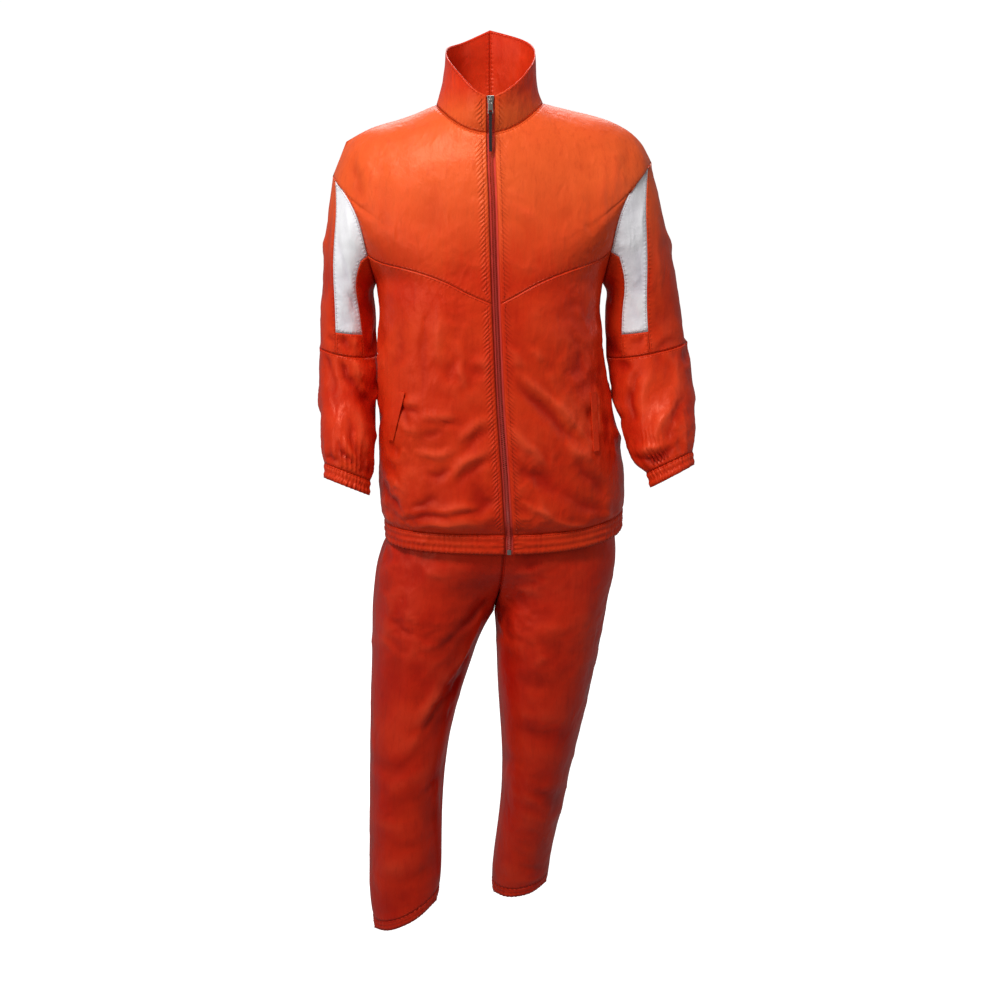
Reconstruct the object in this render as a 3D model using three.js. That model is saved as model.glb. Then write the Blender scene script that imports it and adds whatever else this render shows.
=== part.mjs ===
// A zipped nylon jacket and trousers, worn and hollow. Millimetres, +Z up.
// X runs to the wearer's left, Y to the wearer's back, and the origin is at the base of the neck.
import * as THREE from "three";

// Driving sizes
const WALL = 2;
const HALF_SEAM = 0.15;
const FRONT_COLUMNS = 12;
const BACK_COLUMNS = 8;
const LEG_COLUMNS = 8;
const COLLAR_ROWS = 4;
const ZIP_HALF_GAP = 6;
const TAPE_HALF_INNER = 2.9;
const TAPE_TUCK = 8;
const TAPE_DEPTH = 2.7;
const TAPE_WALL = 1;
const COIL_HALF = 2.6;
const COIL_FACE = 0.8;
const COIL_THICK = 3;
const YOKE_AT_ZIP = 5.22;
// The chest seam is straight as it is seen, so it rises on the round of the chest
const YOKE_RISE = { right: 1.3, left: 1.15 };
const ARMHOLE_SPREAD = 0.7;
const ARMHOLE_WIDTH = 32;
const ARMHOLE_ROUND = 0.45;
const ZIP_CALM = { from: 18, to: 55, lean: -0.045 };
const BAND_HEIGHT = 32;
const WAISTBAND_HEIGHT = 35;

// Rings of the jacket's body, from the neck seam (0) to the hem band's seam (10).
const TORSO = [
  {
    at: 0, xRight: -80, zRight: 20, xLeft: 74, zLeft: 22, ySide: -12, yFront: -92, zFront: -20,
    yBack: 50, zBack: 26, square: 2.1, xZip: -1,
  },
  {
    at: 1, xRight: -128, zRight: 0, xLeft: 124, zLeft: 10, ySide: -10, yFront: -106, zFront: -62,
    yBack: 78, zBack: -6, square: 2.1, xZip: 0,
  },
  {
    at: 2, xRight: -175, zRight: -9, xLeft: 173, zLeft: 0, ySide: -8, yFront: -113, zFront: -98,
    yBack: 94, zBack: -42, square: 2.1, xZip: 2,
  },
  {
    at: 3, xRight: -213, zRight: -31, xLeft: 216, zLeft: -25, ySide: -8, yFront: -118, zFront: -132,
    yBack: 101, zBack: -82, square: 2.2, xZip: 3,
  },
  {
    at: 4, xRight: -235, zRight: -79, xLeft: 235, zLeft: -60, ySide: -8, yFront: -122, zFront: -168,
    yBack: 104, zBack: -125, square: 2.3, xZip: 4,
  },
  {
    at: 5, xRight: -176, zRight: -236, xLeft: 168, zLeft: -236, ySide: -8, yFront: -126, zFront: -236,
    yBack: 104, zBack: -236, square: 2.5, xZip: 6,
  },
  {
    at: 6, xRight: -175, zRight: -310, xLeft: 169, zLeft: -310, ySide: -8, yFront: -128, zFront: -310,
    yBack: 103, zBack: -310, square: 2.5, xZip: 9,
  },
  {
    at: 7, xRight: -177, zRight: -400, xLeft: 182, zLeft: -400, ySide: -8, yFront: -130, zFront: -400,
    yBack: 105, zBack: -400, square: 2.5, xZip: 13,
  },
  {
    at: 8, xRight: -180, zRight: -500, xLeft: 204, zLeft: -500, ySide: -8, yFront: -133, zFront: -500,
    yBack: 109, zBack: -500, square: 2.5, xZip: 20,
  },
  {
    at: 9, xRight: -180, zRight: -575, xLeft: 212, zLeft: -562, ySide: -8, yFront: -135, zFront: -572,
    yBack: 113, zBack: -572, square: 2.4, xZip: 24,
  },
  {
    at: 10, xRight: -174, zRight: -606, xLeft: 209, zLeft: -588, ySide: -8, yFront: -124, zFront: -600,
    yBack: 102, zBack: -600, square: 2.4, xZip: 26,
  },
];

// Ring heights at the side seam, as positions in the table of rings.
const SHOULDER_ROWS = [0, 1, 2, 3];
const ARMHOLE_ANGLES = [0, 20, 45, 68, 90, 112, 132, 156, 180];
const YOKE_ANGLE = 132;
const SIDE_ROWS = [5, 5.4, 5.8, 6.3, 6.8, 7.3, 7.7, 8.1, 8.5, 8.9, 9.3, 9.7, 10];

// The right armhole's loop: 0 shoulder point, 90 front, 180 underarm, 270 back.
const ARMHOLE = [
  { at: 0, x: -235, y: -8, z: -79 },
  { at: 45, x: -213, y: -60, z: -100 },
  { at: 90, x: -191, y: -82, z: -136 },
  { at: 135, x: -180, y: -66, z: -193 },
  { at: 180, x: -176, y: -8, z: -236 },
  { at: 225, x: -183, y: 52, z: -193 },
  { at: 270, x: -197, y: 66, z: -136 },
  { at: 315, x: -216, y: 46, z: -98 },
];
const LEFT_ARMHOLE = { xTop: 235, xUnder: 168, rise: 19 };

// Rings of the sleeves: outer and inner ends of the ring, its depth, and how much its front is lifted.
const SLEEVES = {
  right: [
    { at: 1, xOuter: -252, zOuter: -165, xInner: -182, zInner: -252, y: 4, half: 74, lift: 0 },
    { at: 2, xOuter: -263, zOuter: -262, xInner: -179, zInner: -278, y: 8, half: 68, lift: 0 },
    { at: 3, xOuter: -270, zOuter: -332, xInner: -179, zInner: -348, y: 3, half: 66, lift: 3 },
    { at: 4, xOuter: -270, zOuter: -396, xInner: -180, zInner: -408, y: -16, half: 63, lift: 8 },
    { at: 5, xOuter: -265, zOuter: -448, xInner: -181, zInner: -464, y: -44, half: 59, lift: 14 },
    { at: 6, xOuter: -261, zOuter: -482, xInner: -182, zInner: -505, y: -66, half: 50, lift: 14 },
    { at: 7, xOuter: -257, zOuter: -499, xInner: -187, zInner: -527, y: -78, half: 36, lift: 12 },
    { at: 8, xOuter: -257, zOuter: -520, xInner: -188, zInner: -548, y: -86, half: 35, lift: 12 },
  ],
  left: [
    { at: 1, xOuter: 265, zOuter: -152, xInner: 176, zInner: -252, y: 4, half: 72, lift: 0 },
    { at: 2, xOuter: 289, zOuter: -254, xInner: 173, zInner: -280, y: 6, half: 62, lift: 0 },
    { at: 3, xOuter: 303, zOuter: -325, xInner: 177, zInner: -350, y: 0, half: 60, lift: 3 },
    { at: 4, xOuter: 312, zOuter: -390, xInner: 188, zInner: -412, y: -18, half: 58, lift: 8 },
    { at: 5, xOuter: 312, zOuter: -435, xInner: 203, zInner: -462, y: -46, half: 54, lift: 14 },
    { at: 6, xOuter: 308, zOuter: -464, xInner: 216, zInner: -498, y: -66, half: 46, lift: 13 },
    { at: 7, xOuter: 306, zOuter: -480, xInner: 236, zInner: -515, y: -77, half: 36, lift: 12 },
    { at: 8, xOuter: 308, zOuter: -499, xInner: 242, zInner: -536, y: -85, half: 35, lift: 12 },
  ],
};

// Angles of the white panel's two long edges down each sleeve.
const WHITE_PANEL = {
  right: [
    { at: 0, outer: 20, inner: 132 },
    { at: 0.4, outer: 46, inner: 120 },
    { at: 1, outer: 66, inner: 116 },
    { at: 2, outer: 74, inner: 126 },
    { at: 3, outer: 78, inner: 132 },
  ],
  left: [
    { at: 0, outer: 20, inner: 132 },
    { at: 0.4, outer: 56, inner: 120 },
    { at: 1, outer: 84, inner: 122 },
    { at: 2, outer: 92, inner: 130 },
    { at: 3, outer: 92, inner: 132 },
  ],
};
const UPPER_SLEEVE_ROWS = [0, 0.4, 0.8, 1.3, 1.8, 2.5, 3];
const WHITE_END_ROW = 5;
const LOWER_SLEEVE_ROWS = [3, 3.6, 4.2, 4.8, 5.4, 6, 6.5, 7];

// The collar's upper edge from the zip to the centre back.
const COLLAR_RIM = {
  right: [
    { at: 0, x: -7, y: -100, z: 28 },
    { at: 0.14, x: -24, y: -97, z: 37 },
    { at: 0.3, x: -41, y: -85, z: 54 },
    { at: 0.45, x: -57, y: -62, z: 72 },
    { at: 0.6, x: -65, y: -30, z: 87 },
    { at: 0.72, x: -64, y: 4, z: 98 },
    { at: 0.86, x: -42, y: 42, z: 108 },
    { at: 1, x: -3, y: 58, z: 126 },
  ],
  left: [
    { at: 0, x: 5, y: -100, z: 28 },
    { at: 0.14, x: 22, y: -97, z: 36 },
    { at: 0.3, x: 38, y: -85, z: 48 },
    { at: 0.45, x: 54, y: -62, z: 66 },
    { at: 0.6, x: 62, y: -30, z: 82 },
    { at: 0.72, x: 61, y: 4, z: 98 },
    { at: 0.86, x: 44, y: 38, z: 112 },
    { at: 1, x: -3, y: 58, z: 126 },
  ],
};
const COLLAR_FLARE = 2.4;

// Hips: rings shared by both legs, from the waist (0) to the crotch (9).
const HIPS = [
  { at: 0, z: -500, xRight: -150, xLeft: 172, xMiddle: 16, yFront: -98, yBack: 84, split: 0 },
  { at: 1, z: -560, xRight: -158, xLeft: 184, xMiddle: 17, yFront: -104, yBack: 90, split: 0 },
  { at: 2, z: -602, xRight: -163, xLeft: 194, xMiddle: 18, yFront: -110, yBack: 92, split: 0 },
  { at: 3, z: -636, xRight: -169.5, xLeft: 198, xMiddle: 18, yFront: -112, yBack: 93, split: 0.02 },
  { at: 4, z: -662, xRight: -183, xLeft: 202, xMiddle: 17, yFront: -117, yBack: 100, split: 0.08 },
  { at: 5, z: -690, xRight: -191, xLeft: 200, xMiddle: 14, yFront: -117, yBack: 105, split: 0.25 },
  { at: 6, z: -716, xRight: -195, xLeft: 196, xMiddle: 11, yFront: -116, yBack: 106, split: 0.48 },
  { at: 7, z: -740, xRight: -198, xLeft: 193, xMiddle: 7, yFront: -114, yBack: 105, split: 0.74 },
  { at: 8, z: -760, xRight: -200, xLeft: 190, xMiddle: 4, yFront: -112, yBack: 103, split: 0.93 },
  { at: 9, z: -776, xRight: -201, xLeft: 188, xMiddle: 2, yFront: -111, yBack: 101, split: 1 },
];
const LEGS = {
  right: [
    { at: 10, zOuter: -812, zInner: -812, xOuter: -202, xInner: -16, yFront: -111, yBack: 96 },
    { at: 11, zOuter: -860, zInner: -860, xOuter: -204, xInner: -36, yFront: -113, yBack: 88 },
    { at: 12, zOuter: -930, zInner: -930, xOuter: -207, xInner: -61, yFront: -120, yBack: 70 },
    { at: 13, zOuter: -1005, zInner: -1005, xOuter: -209, xInner: -78, yFront: -130, yBack: 44 },
    { at: 14, zOuter: -1086, zInner: -1080, xOuter: -210, xInner: -85, yFront: -140, yBack: 14 },
    { at: 15, zOuter: -1168, zInner: -1144, xOuter: -211, xInner: -87, yFront: -148, yBack: -14 },
    { at: 16, zOuter: -1244, zInner: -1198, xOuter: -213, xInner: -87, yFront: -155, yBack: -36 },
    { at: 17, zOuter: -1292, zInner: -1232, xOuter: -208, xInner: -90, yFront: -159, yBack: -46 },
    { at: 18, zOuter: -1310, zInner: -1250, xOuter: -207, xInner: -91, yFront: -160, yBack: -50 },
  ],
  left: [
    { at: 10, zOuter: -812, zInner: -812, xOuter: 183, xInner: 5, yFront: -110, yBack: 97 },
    { at: 11, zOuter: -860, zInner: -860, xOuter: 175, xInner: 6, yFront: -108, yBack: 90 },
    { at: 12, zOuter: -930, zInner: -930, xOuter: 161, xInner: 9, yFront: -104, yBack: 76 },
    { at: 13, zOuter: -1005, zInner: -1005, xOuter: 146, xInner: 15, yFront: -98, yBack: 62 },
    { at: 14, zOuter: -1084, zInner: -1086, xOuter: 130, xInner: 16, yFront: -88, yBack: 54 },
    { at: 15, zOuter: -1156, zInner: -1166, xOuter: 119, xInner: 9, yFront: -76, yBack: 50 },
    { at: 16, zOuter: -1222, zInner: -1240, xOuter: 106, xInner: 0, yFront: -62, yBack: 50 },
    { at: 17, zOuter: -1272, zInner: -1294, xOuter: 101, xInner: -3, yFront: -56, yBack: 48 },
    { at: 18, zOuter: -1290, zInner: -1313, xOuter: 99, xInner: -4, yFront: -54, yBack: 46 },
  ],
};
const HIP_SQUARE = 2.4;
const CROTCH_ROW = 9;
const LEG_ROWS = [0, 1, 2, 3, 4, 5, 6, 7, 8, 9, 10, 11, 12, 13, 14, 15, 16, 16.6, 17];

// Folds as soft furrows between two points of the front view; a negative depth is a ridge.
const FOLDS = [
  { x1: 28, z1: -330, x2: 128, z2: -440, depth: 5, width: 16 },
  { x1: 36, z1: -452, x2: 150, z2: -548, depth: 6, width: 18 },
  { x1: 34, z1: -395, x2: 158, z2: -505, depth: -4, width: 18 },
  { x1: -150, z1: -436, x2: -72, z2: -424, depth: -4, width: 16 },
  { x1: -112, z1: -480, x2: -56, z2: -474, depth: 4, width: 16 },
  { x1: -120, z1: -568, x2: -20, z2: -560, depth: -5, width: 18 },
  { x1: -12, z1: -790, x2: -140, z2: -960, depth: 6, width: 18 },
  { x1: -60, z1: -860, x2: -128, z2: -1000, depth: -5, width: 20 },
  { x1: 70, z1: -795, x2: 130, z2: -800, depth: 4, width: 14 },
  { x1: 40, z1: -960, x2: 90, z2: -972, depth: 4, width: 16 },
  { x1: 30, z1: -1180, x2: 80, z2: -1192, depth: 4, width: 14 },
  { x1: -240, z1: -372, x2: -205, z2: -452, depth: 4, width: 14 },
  { x1: 270, z1: -372, x2: 220, z2: -430, depth: 4, width: 14 },
];
const SLIDER = { share: 0.85, top: 4.8, low: 3.6, face: 1.6, thick: 3.6 };
const CROWN = { reach: 3.2, tall: 3.1, bar: 1.1, width: 1.8, pivot: 1 };
const PULLER = { length: 18.5, bar: 1, top: 3, low: 3.6, eye: 1.6, eyeEnd: 4.8, slot: 2.5, slotStart: 14.2 };
const TAB_PIECE = { length: 50, width: 4.2, thick: 2, wrap: 0.9, clear: 3.4 };
const POCKETS = {
  right: { x1: -132, z1: -384, x2: -152, z2: -460 },
  left: { x1: 150, z1: -386, x2: 156, z2: -474 },
};
const WELT = { half: 4.5, steps: 6, lift: 0.9, thick: 1.4 };
const GATHER = { sleeve: 3, hem: 2.5, band: 0.8, ankle: 1.8 };

// Finishes of the mesh materials
const finish = (color, roughness, metalness = 0) =>
  new THREE.MeshStandardMaterial({ color, roughness, metalness });
const JACKET = finish("#e0401c", 0.5);
const WHITE = finish("#f0eaf0", 0.5);
const RIB = finish("#cc3014", 0.6);
const TROUSER = finish("#b81e12", 0.55);
const TAPE = finish("#c92a24", 0.8);
const METAL = finish("#b8b4b0", 0.3, 1);
const TAB = finish("#1a0a12", 0.6);

const group = new THREE.Group();
const vec = (x, y, z) => new THREE.Vector3(x, y, z);
const mix = (a, b, t) => a + (b - a) * t;
const rad = THREE.MathUtils.degToRad;
const ACROSS_BODY = vec(0, 1, 0);
const SIDES = ["right", "left"];

// The value of a table's column at a position, on a smooth curve through its rows.
function along(table, column, at) {
  const last = table.length - 1;
  const place = THREE.MathUtils.clamp(at, table[0].at, table[last].at);
  let k = 0;
  while (k < last - 1 && place > table[k + 1].at) k += 1;
  const slope = (i) => {
    const a = table[Math.max(i - 1, 0)];
    const b = table[Math.min(i + 1, last)];
    return (b[column] - a[column]) / (b.at - a.at);
  };
  const step = table[k + 1].at - table[k].at;
  const t = (place - table[k].at) / step;
  const t2 = t * t;
  const t3 = t2 * t;
  return (
    (2 * t3 - 3 * t2 + 1) * table[k][column] +
    (t3 - 2 * t2 + t) * step * slope(k) +
    (3 * t2 - 2 * t3) * table[k + 1][column] +
    (t3 - t2) * step * slope(k + 1)
  );
}

// The same for a table that closes on itself after 360 degrees.
function around(table, column, angle) {
  const shifted = (turn) => table.map((row) => ({ ...row, at: row.at + turn }));
  const wrapped = [...shifted(-360), ...table, ...shifted(360)];
  return along(wrapped, column, angle);
}

// A value on the straight lines between a table's rows.
function straight(table, column, at) {
  let k = 0;
  while (k < table.length - 2 && at > table[k + 1].at) k += 1;
  const t = (at - table[k].at) / (table[k + 1].at - table[k].at);
  return mix(table[k][column], table[k + 1][column], t);
}

function pull(value, power) {
  return Math.sign(value) * Math.abs(value) ** power;
}

// A point of the body: angle 0 at the wearer's left side, 90 in front, 180 right, 270 behind.
function torso(angle, at) {
  const c = Math.cos(rad(angle));
  const s = Math.sin(rad(angle));
  const get = (column) => along(TORSO, column, at);
  const power = 2 / get("square");
  const middle = (get("xRight") + get("xLeft")) / 2;
  const half = (get("xLeft") - get("xRight")) / 2;
  const face = s > 0 ? "Front" : "Back";
  const zSide = c < 0 ? get("zRight") : get("zLeft");
  const ySide = get("ySide");
  const zFace = get("z" + face);
  return vec(
    middle + half * pull(c, power),
    ySide + (get("y" + face) - ySide) * Math.abs(s) ** power,
    zFace + (zSide - zFace) * c * c,
  );
}

// The angle at which a ring of the body's front passes a given x.
function frontAngle(at, x) {
  const get = (column) => along(TORSO, column, at);
  const middle = (get("xRight") + get("xLeft")) / 2;
  const half = (get("xLeft") - get("xRight")) / 2;
  const c = pull((x - middle) / half, get("square") / 2);
  return THREE.MathUtils.radToDeg(Math.acos(c));
}

function armhole(side, angle) {
  const x = around(ARMHOLE, "x", angle);
  const y = around(ARMHOLE, "y", angle);
  const z = around(ARMHOLE, "z", angle);
  if (side === "right") return vec(x, y, z);
  const top = ARMHOLE[0];
  const under = ARMHOLE[4];
  const share = (x - under.x) / (top.x - under.x);
  const lift = (z - under.z) / (top.z - under.z);
  return vec(mix(LEFT_ARMHOLE.xUnder, LEFT_ARMHOLE.xTop, share), y, z + LEFT_ARMHOLE.rise * lift);
}

function armholeSeam(side, angle) {
  const centre = armhole(side, 0).add(armhole(side, 180)).multiplyScalar(0.5);
  const down = armhole(side, 180).sub(armhole(side, 0)).normalize();
  const across = down.clone().cross(ACROSS_BODY).normalize();
  const tangent = armhole(side, angle + 1).sub(armhole(side, angle - 1));
  return seam(tangent, across, armhole(side, angle).sub(centre));
}

// A seam's shared wall direction, square to its line and turned to the outside, and the way across it.
function seam(tangent, across, outside) {
  const normal = tangent.clone().cross(across).normalize();
  if (normal.dot(outside) < 0) normal.negate();
  return { normal, across: across.clone().normalize() };
}

// A seam in a smooth surface, from the surface's own two directions.
function flatSeam(tangent, other, outside) {
  const normal = tangent.clone().cross(other).normalize();
  if (normal.dot(outside) < 0) normal.negate();
  return { normal, across: normal.clone().cross(tangent).normalize() };
}

const opened = (at) => THREE.MathUtils.clamp(at - 4, 0, 1);
const armholeAngle = (share) => 180 * share ** ARMHOLE_SPREAD;
const armholeShare = (angle) => (angle / 180) ** (1 / ARMHOLE_SPREAD);

// A point of a front or back: u runs from the zip or centre back to the side, edgeAt is its row at the side.
function bodyPoint(side, face, u, at, edgeAt) {
  const turn = side === "right" ? 1 : -1;
  const inFront = face === "front";
  const start = (row) =>
    inFront ? frontAngle(row, along(TORSO, "xZip", row) - turn * ZIP_HALF_GAP) : 270;
  const cut = (row) => ARMHOLE_WIDTH * Math.abs(Math.sin(Math.PI * opened(row))) ** ARMHOLE_ROUND;
  const sideAngle = side === "right" ? 180 : inFront ? 0 : 360;
  const end = (row) => sideAngle + (inFront ? -turn : turn) * cut(row);
  const point = torso(mix(start(at), end(at), u), at);
  if (edgeAt <= 4 || edgeAt >= 5) return point;
  const angle = armholeAngle(opened(edgeAt));
  const edge = armhole(side, inFront ? angle : 360 - angle);
  const shift = edge.sub(torso(end(edgeAt), edgeAt));
  return point.addScaledVector(shift, u ** 2.5);
}

function ringRow(side, k) {
  return SLEEVES[side][k - 1];
}

function sleeveRing(side, k, angle) {
  if (k === 0) return armhole(side, angle);
  const ring = ringRow(side, k);
  const c = Math.cos(rad(angle));
  const s = Math.sin(rad(angle));
  return vec(
    mix(ring.xInner, ring.xOuter, (1 + c) / 2),
    ring.y - ring.half * s,
    mix(ring.zInner, ring.zOuter, (1 + c) / 2) + ring.lift * s,
  );
}

// A point of a sleeve: angle 0 outside, 90 in front, 180 inside, 270 behind.
// Ring 0 is the armhole and 8 the cuff's edge.
function sleeve(side, angle, at) {
  const last = SLEEVES[side].length;
  const k = Math.min(Math.floor(at), last - 1);
  const t = at - k;
  const p1 = sleeveRing(side, k, angle);
  const p2 = sleeveRing(side, k + 1, angle);
  const p0 = k > 0 ? sleeveRing(side, k - 1, angle) : p1.clone().multiplyScalar(2).sub(p2);
  const p3 =
    k + 2 <= last ? sleeveRing(side, k + 2, angle) : p2.clone().multiplyScalar(2).sub(p1);
  const value = (axis) => {
    const [a, b, c, d] = [p0[axis], p1[axis], p2[axis], p3[axis]];
    const bend = 2 * a - 5 * b + 4 * c - d;
    return b + 0.5 * t * (c - a + t * (bend + t * (3 * (b - c) + d - a)));
  };
  return vec(value("x"), value("y"), value("z"));
}

function sleeveCentre(side, at) {
  return sleeve(side, 0, at).add(sleeve(side, 180, at)).multiplyScalar(0.5);
}

function sleeveSeam(side, angle, at, lengthwise) {
  const step = 0.02;
  const low = Math.max(at - step, 0);
  const down = sleeve(side, angle, at + step).sub(sleeve(side, angle, low));
  const turned = sleeve(side, angle + 1, at).sub(sleeve(side, angle - 1, at));
  const outside = sleeve(side, angle, at).sub(sleeveCentre(side, at));
  return lengthwise ? flatSeam(down, turned, outside) : flatSeam(turned, down, outside);
}

// Legs

function legTable(side) {
  const hips = HIPS.map((row) => ({
    at: row.at,
    zOuter: row.z,
    zInner: row.z,
    xOuter: side === "right" ? row.xRight : row.xLeft,
    xInner: row.xMiddle,
    xMiddle: row.xMiddle,
    yFront: row.yFront,
    yBack: row.yBack,
    split: row.split,
  }));
  const middle = HIPS[CROTCH_ROW].xMiddle;
  return [...hips, ...LEGS[side].map((row) => ({ ...row, xMiddle: middle, split: 1 }))];
}
const LEG_TABLES = { right: legTable("right"), left: legTable("left") };

// A point of a leg: u runs from the centre or inside seam to the side seam.
function legPoint(side, face, u, at) {
  const get = (column) => along(LEG_TABLES[side], column, at);
  const power = 2 / HIP_SQUARE;
  const low = get("yFront");
  const high = get("yBack");
  const ySeam = (low + high) / 2;
  const yFace = face === "front" ? low : high;
  const quarter = (Math.PI / 2) * u;
  const half = Math.PI * u;
  const round = (1 - Math.cos(half)) / 2;
  const middle = get("xMiddle");
  const outer = get("xOuter");
  const hip = vec(
    middle + (outer - middle) * Math.sin(quarter) ** power,
    ySeam + (yFace - ySeam) * Math.abs(Math.cos(quarter)) ** power,
    0,
  );
  const leg = vec(mix(get("xInner"), outer, round), ySeam + (yFace - ySeam) * Math.sin(half), 0);
  const point = hip.lerp(leg, get("split"));
  point.z = mix(get("zInner"), get("zOuter"), round);
  return point;
}

function legSeam(side, face, u, at) {
  const step = 0.05;
  const down = legPoint(side, face, u, at + step).sub(legPoint(side, face, u, at - step));
  const outward = side === "right" ? -1 : 1;
  if (u === 1) return seam(down, ACROSS_BODY, vec(outward, 0, 0));
  if (at > CROTCH_ROW) return seam(down, ACROSS_BODY, vec(-outward, 0, 0));
  if (at === CROTCH_ROW) return { normal: vec(0, 0, -1), across: vec(1, 0, 0) };
  const facing = face === "front" ? -1 : 1;
  const rise = legPoint(side, face, 0, at).sub(legPoint(side, face, 0, at - step));
  return seam(rise, vec(1, 0, 0), vec(0, facing, -0.2));
}

// The radial wall direction of a ring that is open at the top or bottom.
function radialSeam(point, centre, halfX, halfY) {
  const normal = vec((point.x - centre.x) / halfX ** 2, (point.y - centre.y) / halfY ** 2, 0);
  return { normal: normal.normalize(), across: vec(0, 0, 1) };
}

const neckSeam = (point) => radialSeam(point, vec(-4, -20, 0), 76, 71);
const bandSeam = (point) => radialSeam(point, vec(11, -11, 0), 188, 113);
const waistSeam = (point) => radialSeam(point, vec(8, -7, 0), 158, 91);

// How far the cloth moves out at a place of the front view.
function foldAt(point) {
  if (point.y > 0) return 0;
  const fromZip = Math.abs(point.x - ZIP_CALM.lean * point.z);
  const calm = point.z > HIPS[3].z ? THREE.MathUtils.smoothstep(fromZip, ZIP_CALM.from, ZIP_CALM.to) : 1;
  let moved = 0;
  for (const fold of FOLDS) {
    const dx = fold.x2 - fold.x1;
    const dz = fold.z2 - fold.z1;
    const length2 = dx * dx + dz * dz;
    const t = ((point.x - fold.x1) * dx + (point.z - fold.z1) * dz) / length2;
    const near = THREE.MathUtils.clamp(t, 0, 1);
    const offX = point.x - fold.x1 - near * dx;
    const offZ = point.z - fold.z1 - near * dz;
    moved -= fold.depth * Math.exp(-(offX * offX + offZ * offZ) / fold.width ** 2);
  }
  return moved * calm;
}

// Walls

function addMesh(name, geometry, material) {
  const mesh = new THREE.Mesh(geometry, material);
  mesh.name = name;
  group.add(mesh);
}

// A closed solid between two grids of points.
function shell(outer, inner, closed) {
  const rows = outer.length;
  const columns = outer[0].length;
  const points = [...outer.flat(), ...inner.flat()];
  const positions = new Float32Array(points.flatMap((p) => [p.x, p.y, p.z]));
  const index = [];
  const at = (layer, i, j) => layer * rows * columns + i * columns + (j % columns);
  const quad = (a, b, c, d) => index.push(a, b, c, a, c, d);
  const spans = closed ? columns : columns - 1;
  for (let i = 0; i < rows - 1; i += 1)
    for (let j = 0; j < spans; j += 1) {
      quad(at(0, i, j), at(0, i + 1, j), at(0, i + 1, j + 1), at(0, i, j + 1));
      quad(at(1, i, j), at(1, i, j + 1), at(1, i + 1, j + 1), at(1, i + 1, j));
    }
  for (let j = 0; j < spans; j += 1) {
    quad(at(0, 0, j), at(0, 0, j + 1), at(1, 0, j + 1), at(1, 0, j));
    quad(at(0, rows - 1, j), at(1, rows - 1, j), at(1, rows - 1, j + 1), at(0, rows - 1, j + 1));
  }
  if (!closed)
    for (let i = 0; i < rows - 1; i += 1) {
      quad(at(0, i, 0), at(1, i, 0), at(1, i + 1, 0), at(0, i + 1, 0));
      const last = columns - 1;
      quad(at(0, i, last), at(0, i + 1, last), at(1, i + 1, last), at(1, i, last));
    }
  let volume = 0;
  for (let k = 0; k < index.length; k += 3) {
    const [a, b, c] = [points[index[k]], points[index[k + 1]], points[index[k + 2]]];
    volume += a.dot(b.clone().cross(c));
  }
  if (volume < 0) index.reverse();
  const geometry = new THREE.BufferGeometry();
  geometry.setAttribute("position", new THREE.BufferAttribute(positions, 3));
  geometry.setIndex(index);
  return geometry;
}

// Wall directions of a grid, from its neighbours and turned away from the inside.
function gridNormals(points, closed, insideOf) {
  const rows = points.length;
  const columns = points[0].length;
  const wrap = (j) => (closed ? (j + columns) % columns : THREE.MathUtils.clamp(j, 0, columns - 1));
  return points.map((row, i) =>
    row.map((point, j) => {
      const down = points[Math.min(i + 1, rows - 1)][j].clone().sub(points[Math.max(i - 1, 0)][j]);
      const side = row[wrap(j + 1)].clone().sub(row[wrap(j - 1)]);
      const normal = down.cross(side).normalize();
      if (normal.dot(point.clone().sub(insideOf(point, i))) < 0) normal.negate();
      return normal;
    }),
  );
}

// A cloth piece: a wall on a grid of points, drawn back from each seam by half the seam's gap.
function cloth(name, material, points, { insideOf, seamsAt, closed = false, relief = () => 0 }) {
  const rows = points.length;
  const columns = points[0].length;
  const normals = gridNormals(points, closed, insideOf);
  const outer = points.map((row) => row.map((point) => point.clone()));
  for (let i = 0; i < rows; i += 1)
    for (let j = 0; j < columns; j += 1) {
      const seams = seamsAt(i, j);
      if (seams.length) normals[i][j] = seams[0].normal;
      const inner = points[i === 0 ? 1 : i === rows - 1 ? rows - 2 : i];
      const column = closed ? j : j === 0 ? 1 : j === columns - 1 ? columns - 2 : j;
      const within = inner[column].clone().sub(points[i][j]);
      let first = null;
      for (const { across, normal } of seams) {
        const flat = across.clone().addScaledVector(normal, -across.dot(normal)).normalize();
        if (first) flat.addScaledVector(first, -flat.dot(first)).normalize();
        first = first ?? flat;
        outer[i][j].addScaledVector(flat, Math.sign(flat.dot(within)) * HALF_SEAM);
      }
      outer[i][j].addScaledVector(normals[i][j], foldAt(points[i][j]) + relief(i, j));
    }
  const inner = outer.map((row, i) =>
    row.map((point, j) => point.clone().addScaledVector(normals[i][j], -WALL)),
  );
  addMesh(name, shell(outer, inner, closed), material);
  return { outer, inner, normals };
}

const bodyInside = (point) => vec(0.6 * point.x, -10, point.z - 60);

// Jacket body
const armholeRows = ARMHOLE_ANGLES.map((angle) => 4 + armholeShare(angle));
const yokeAtArmhole = 4 + armholeShare(YOKE_ANGLE);
const yokeRows = [...SHOULDER_ROWS, ...armholeRows.filter((at) => at <= yokeAtArmhole)];
const lowerRows = [...armholeRows.filter((at) => at >= yokeAtArmhole), ...SIDE_ROWS.slice(1)];
const backRows = [...SHOULDER_ROWS, ...armholeRows, ...SIDE_ROWS.slice(1)];
const yokeSeamAt = (side, u) =>
  mix(YOKE_AT_ZIP, yokeAtArmhole, u) - YOKE_RISE[side] * u ** 0.8 * (1 - u) ** 1.6;

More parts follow.
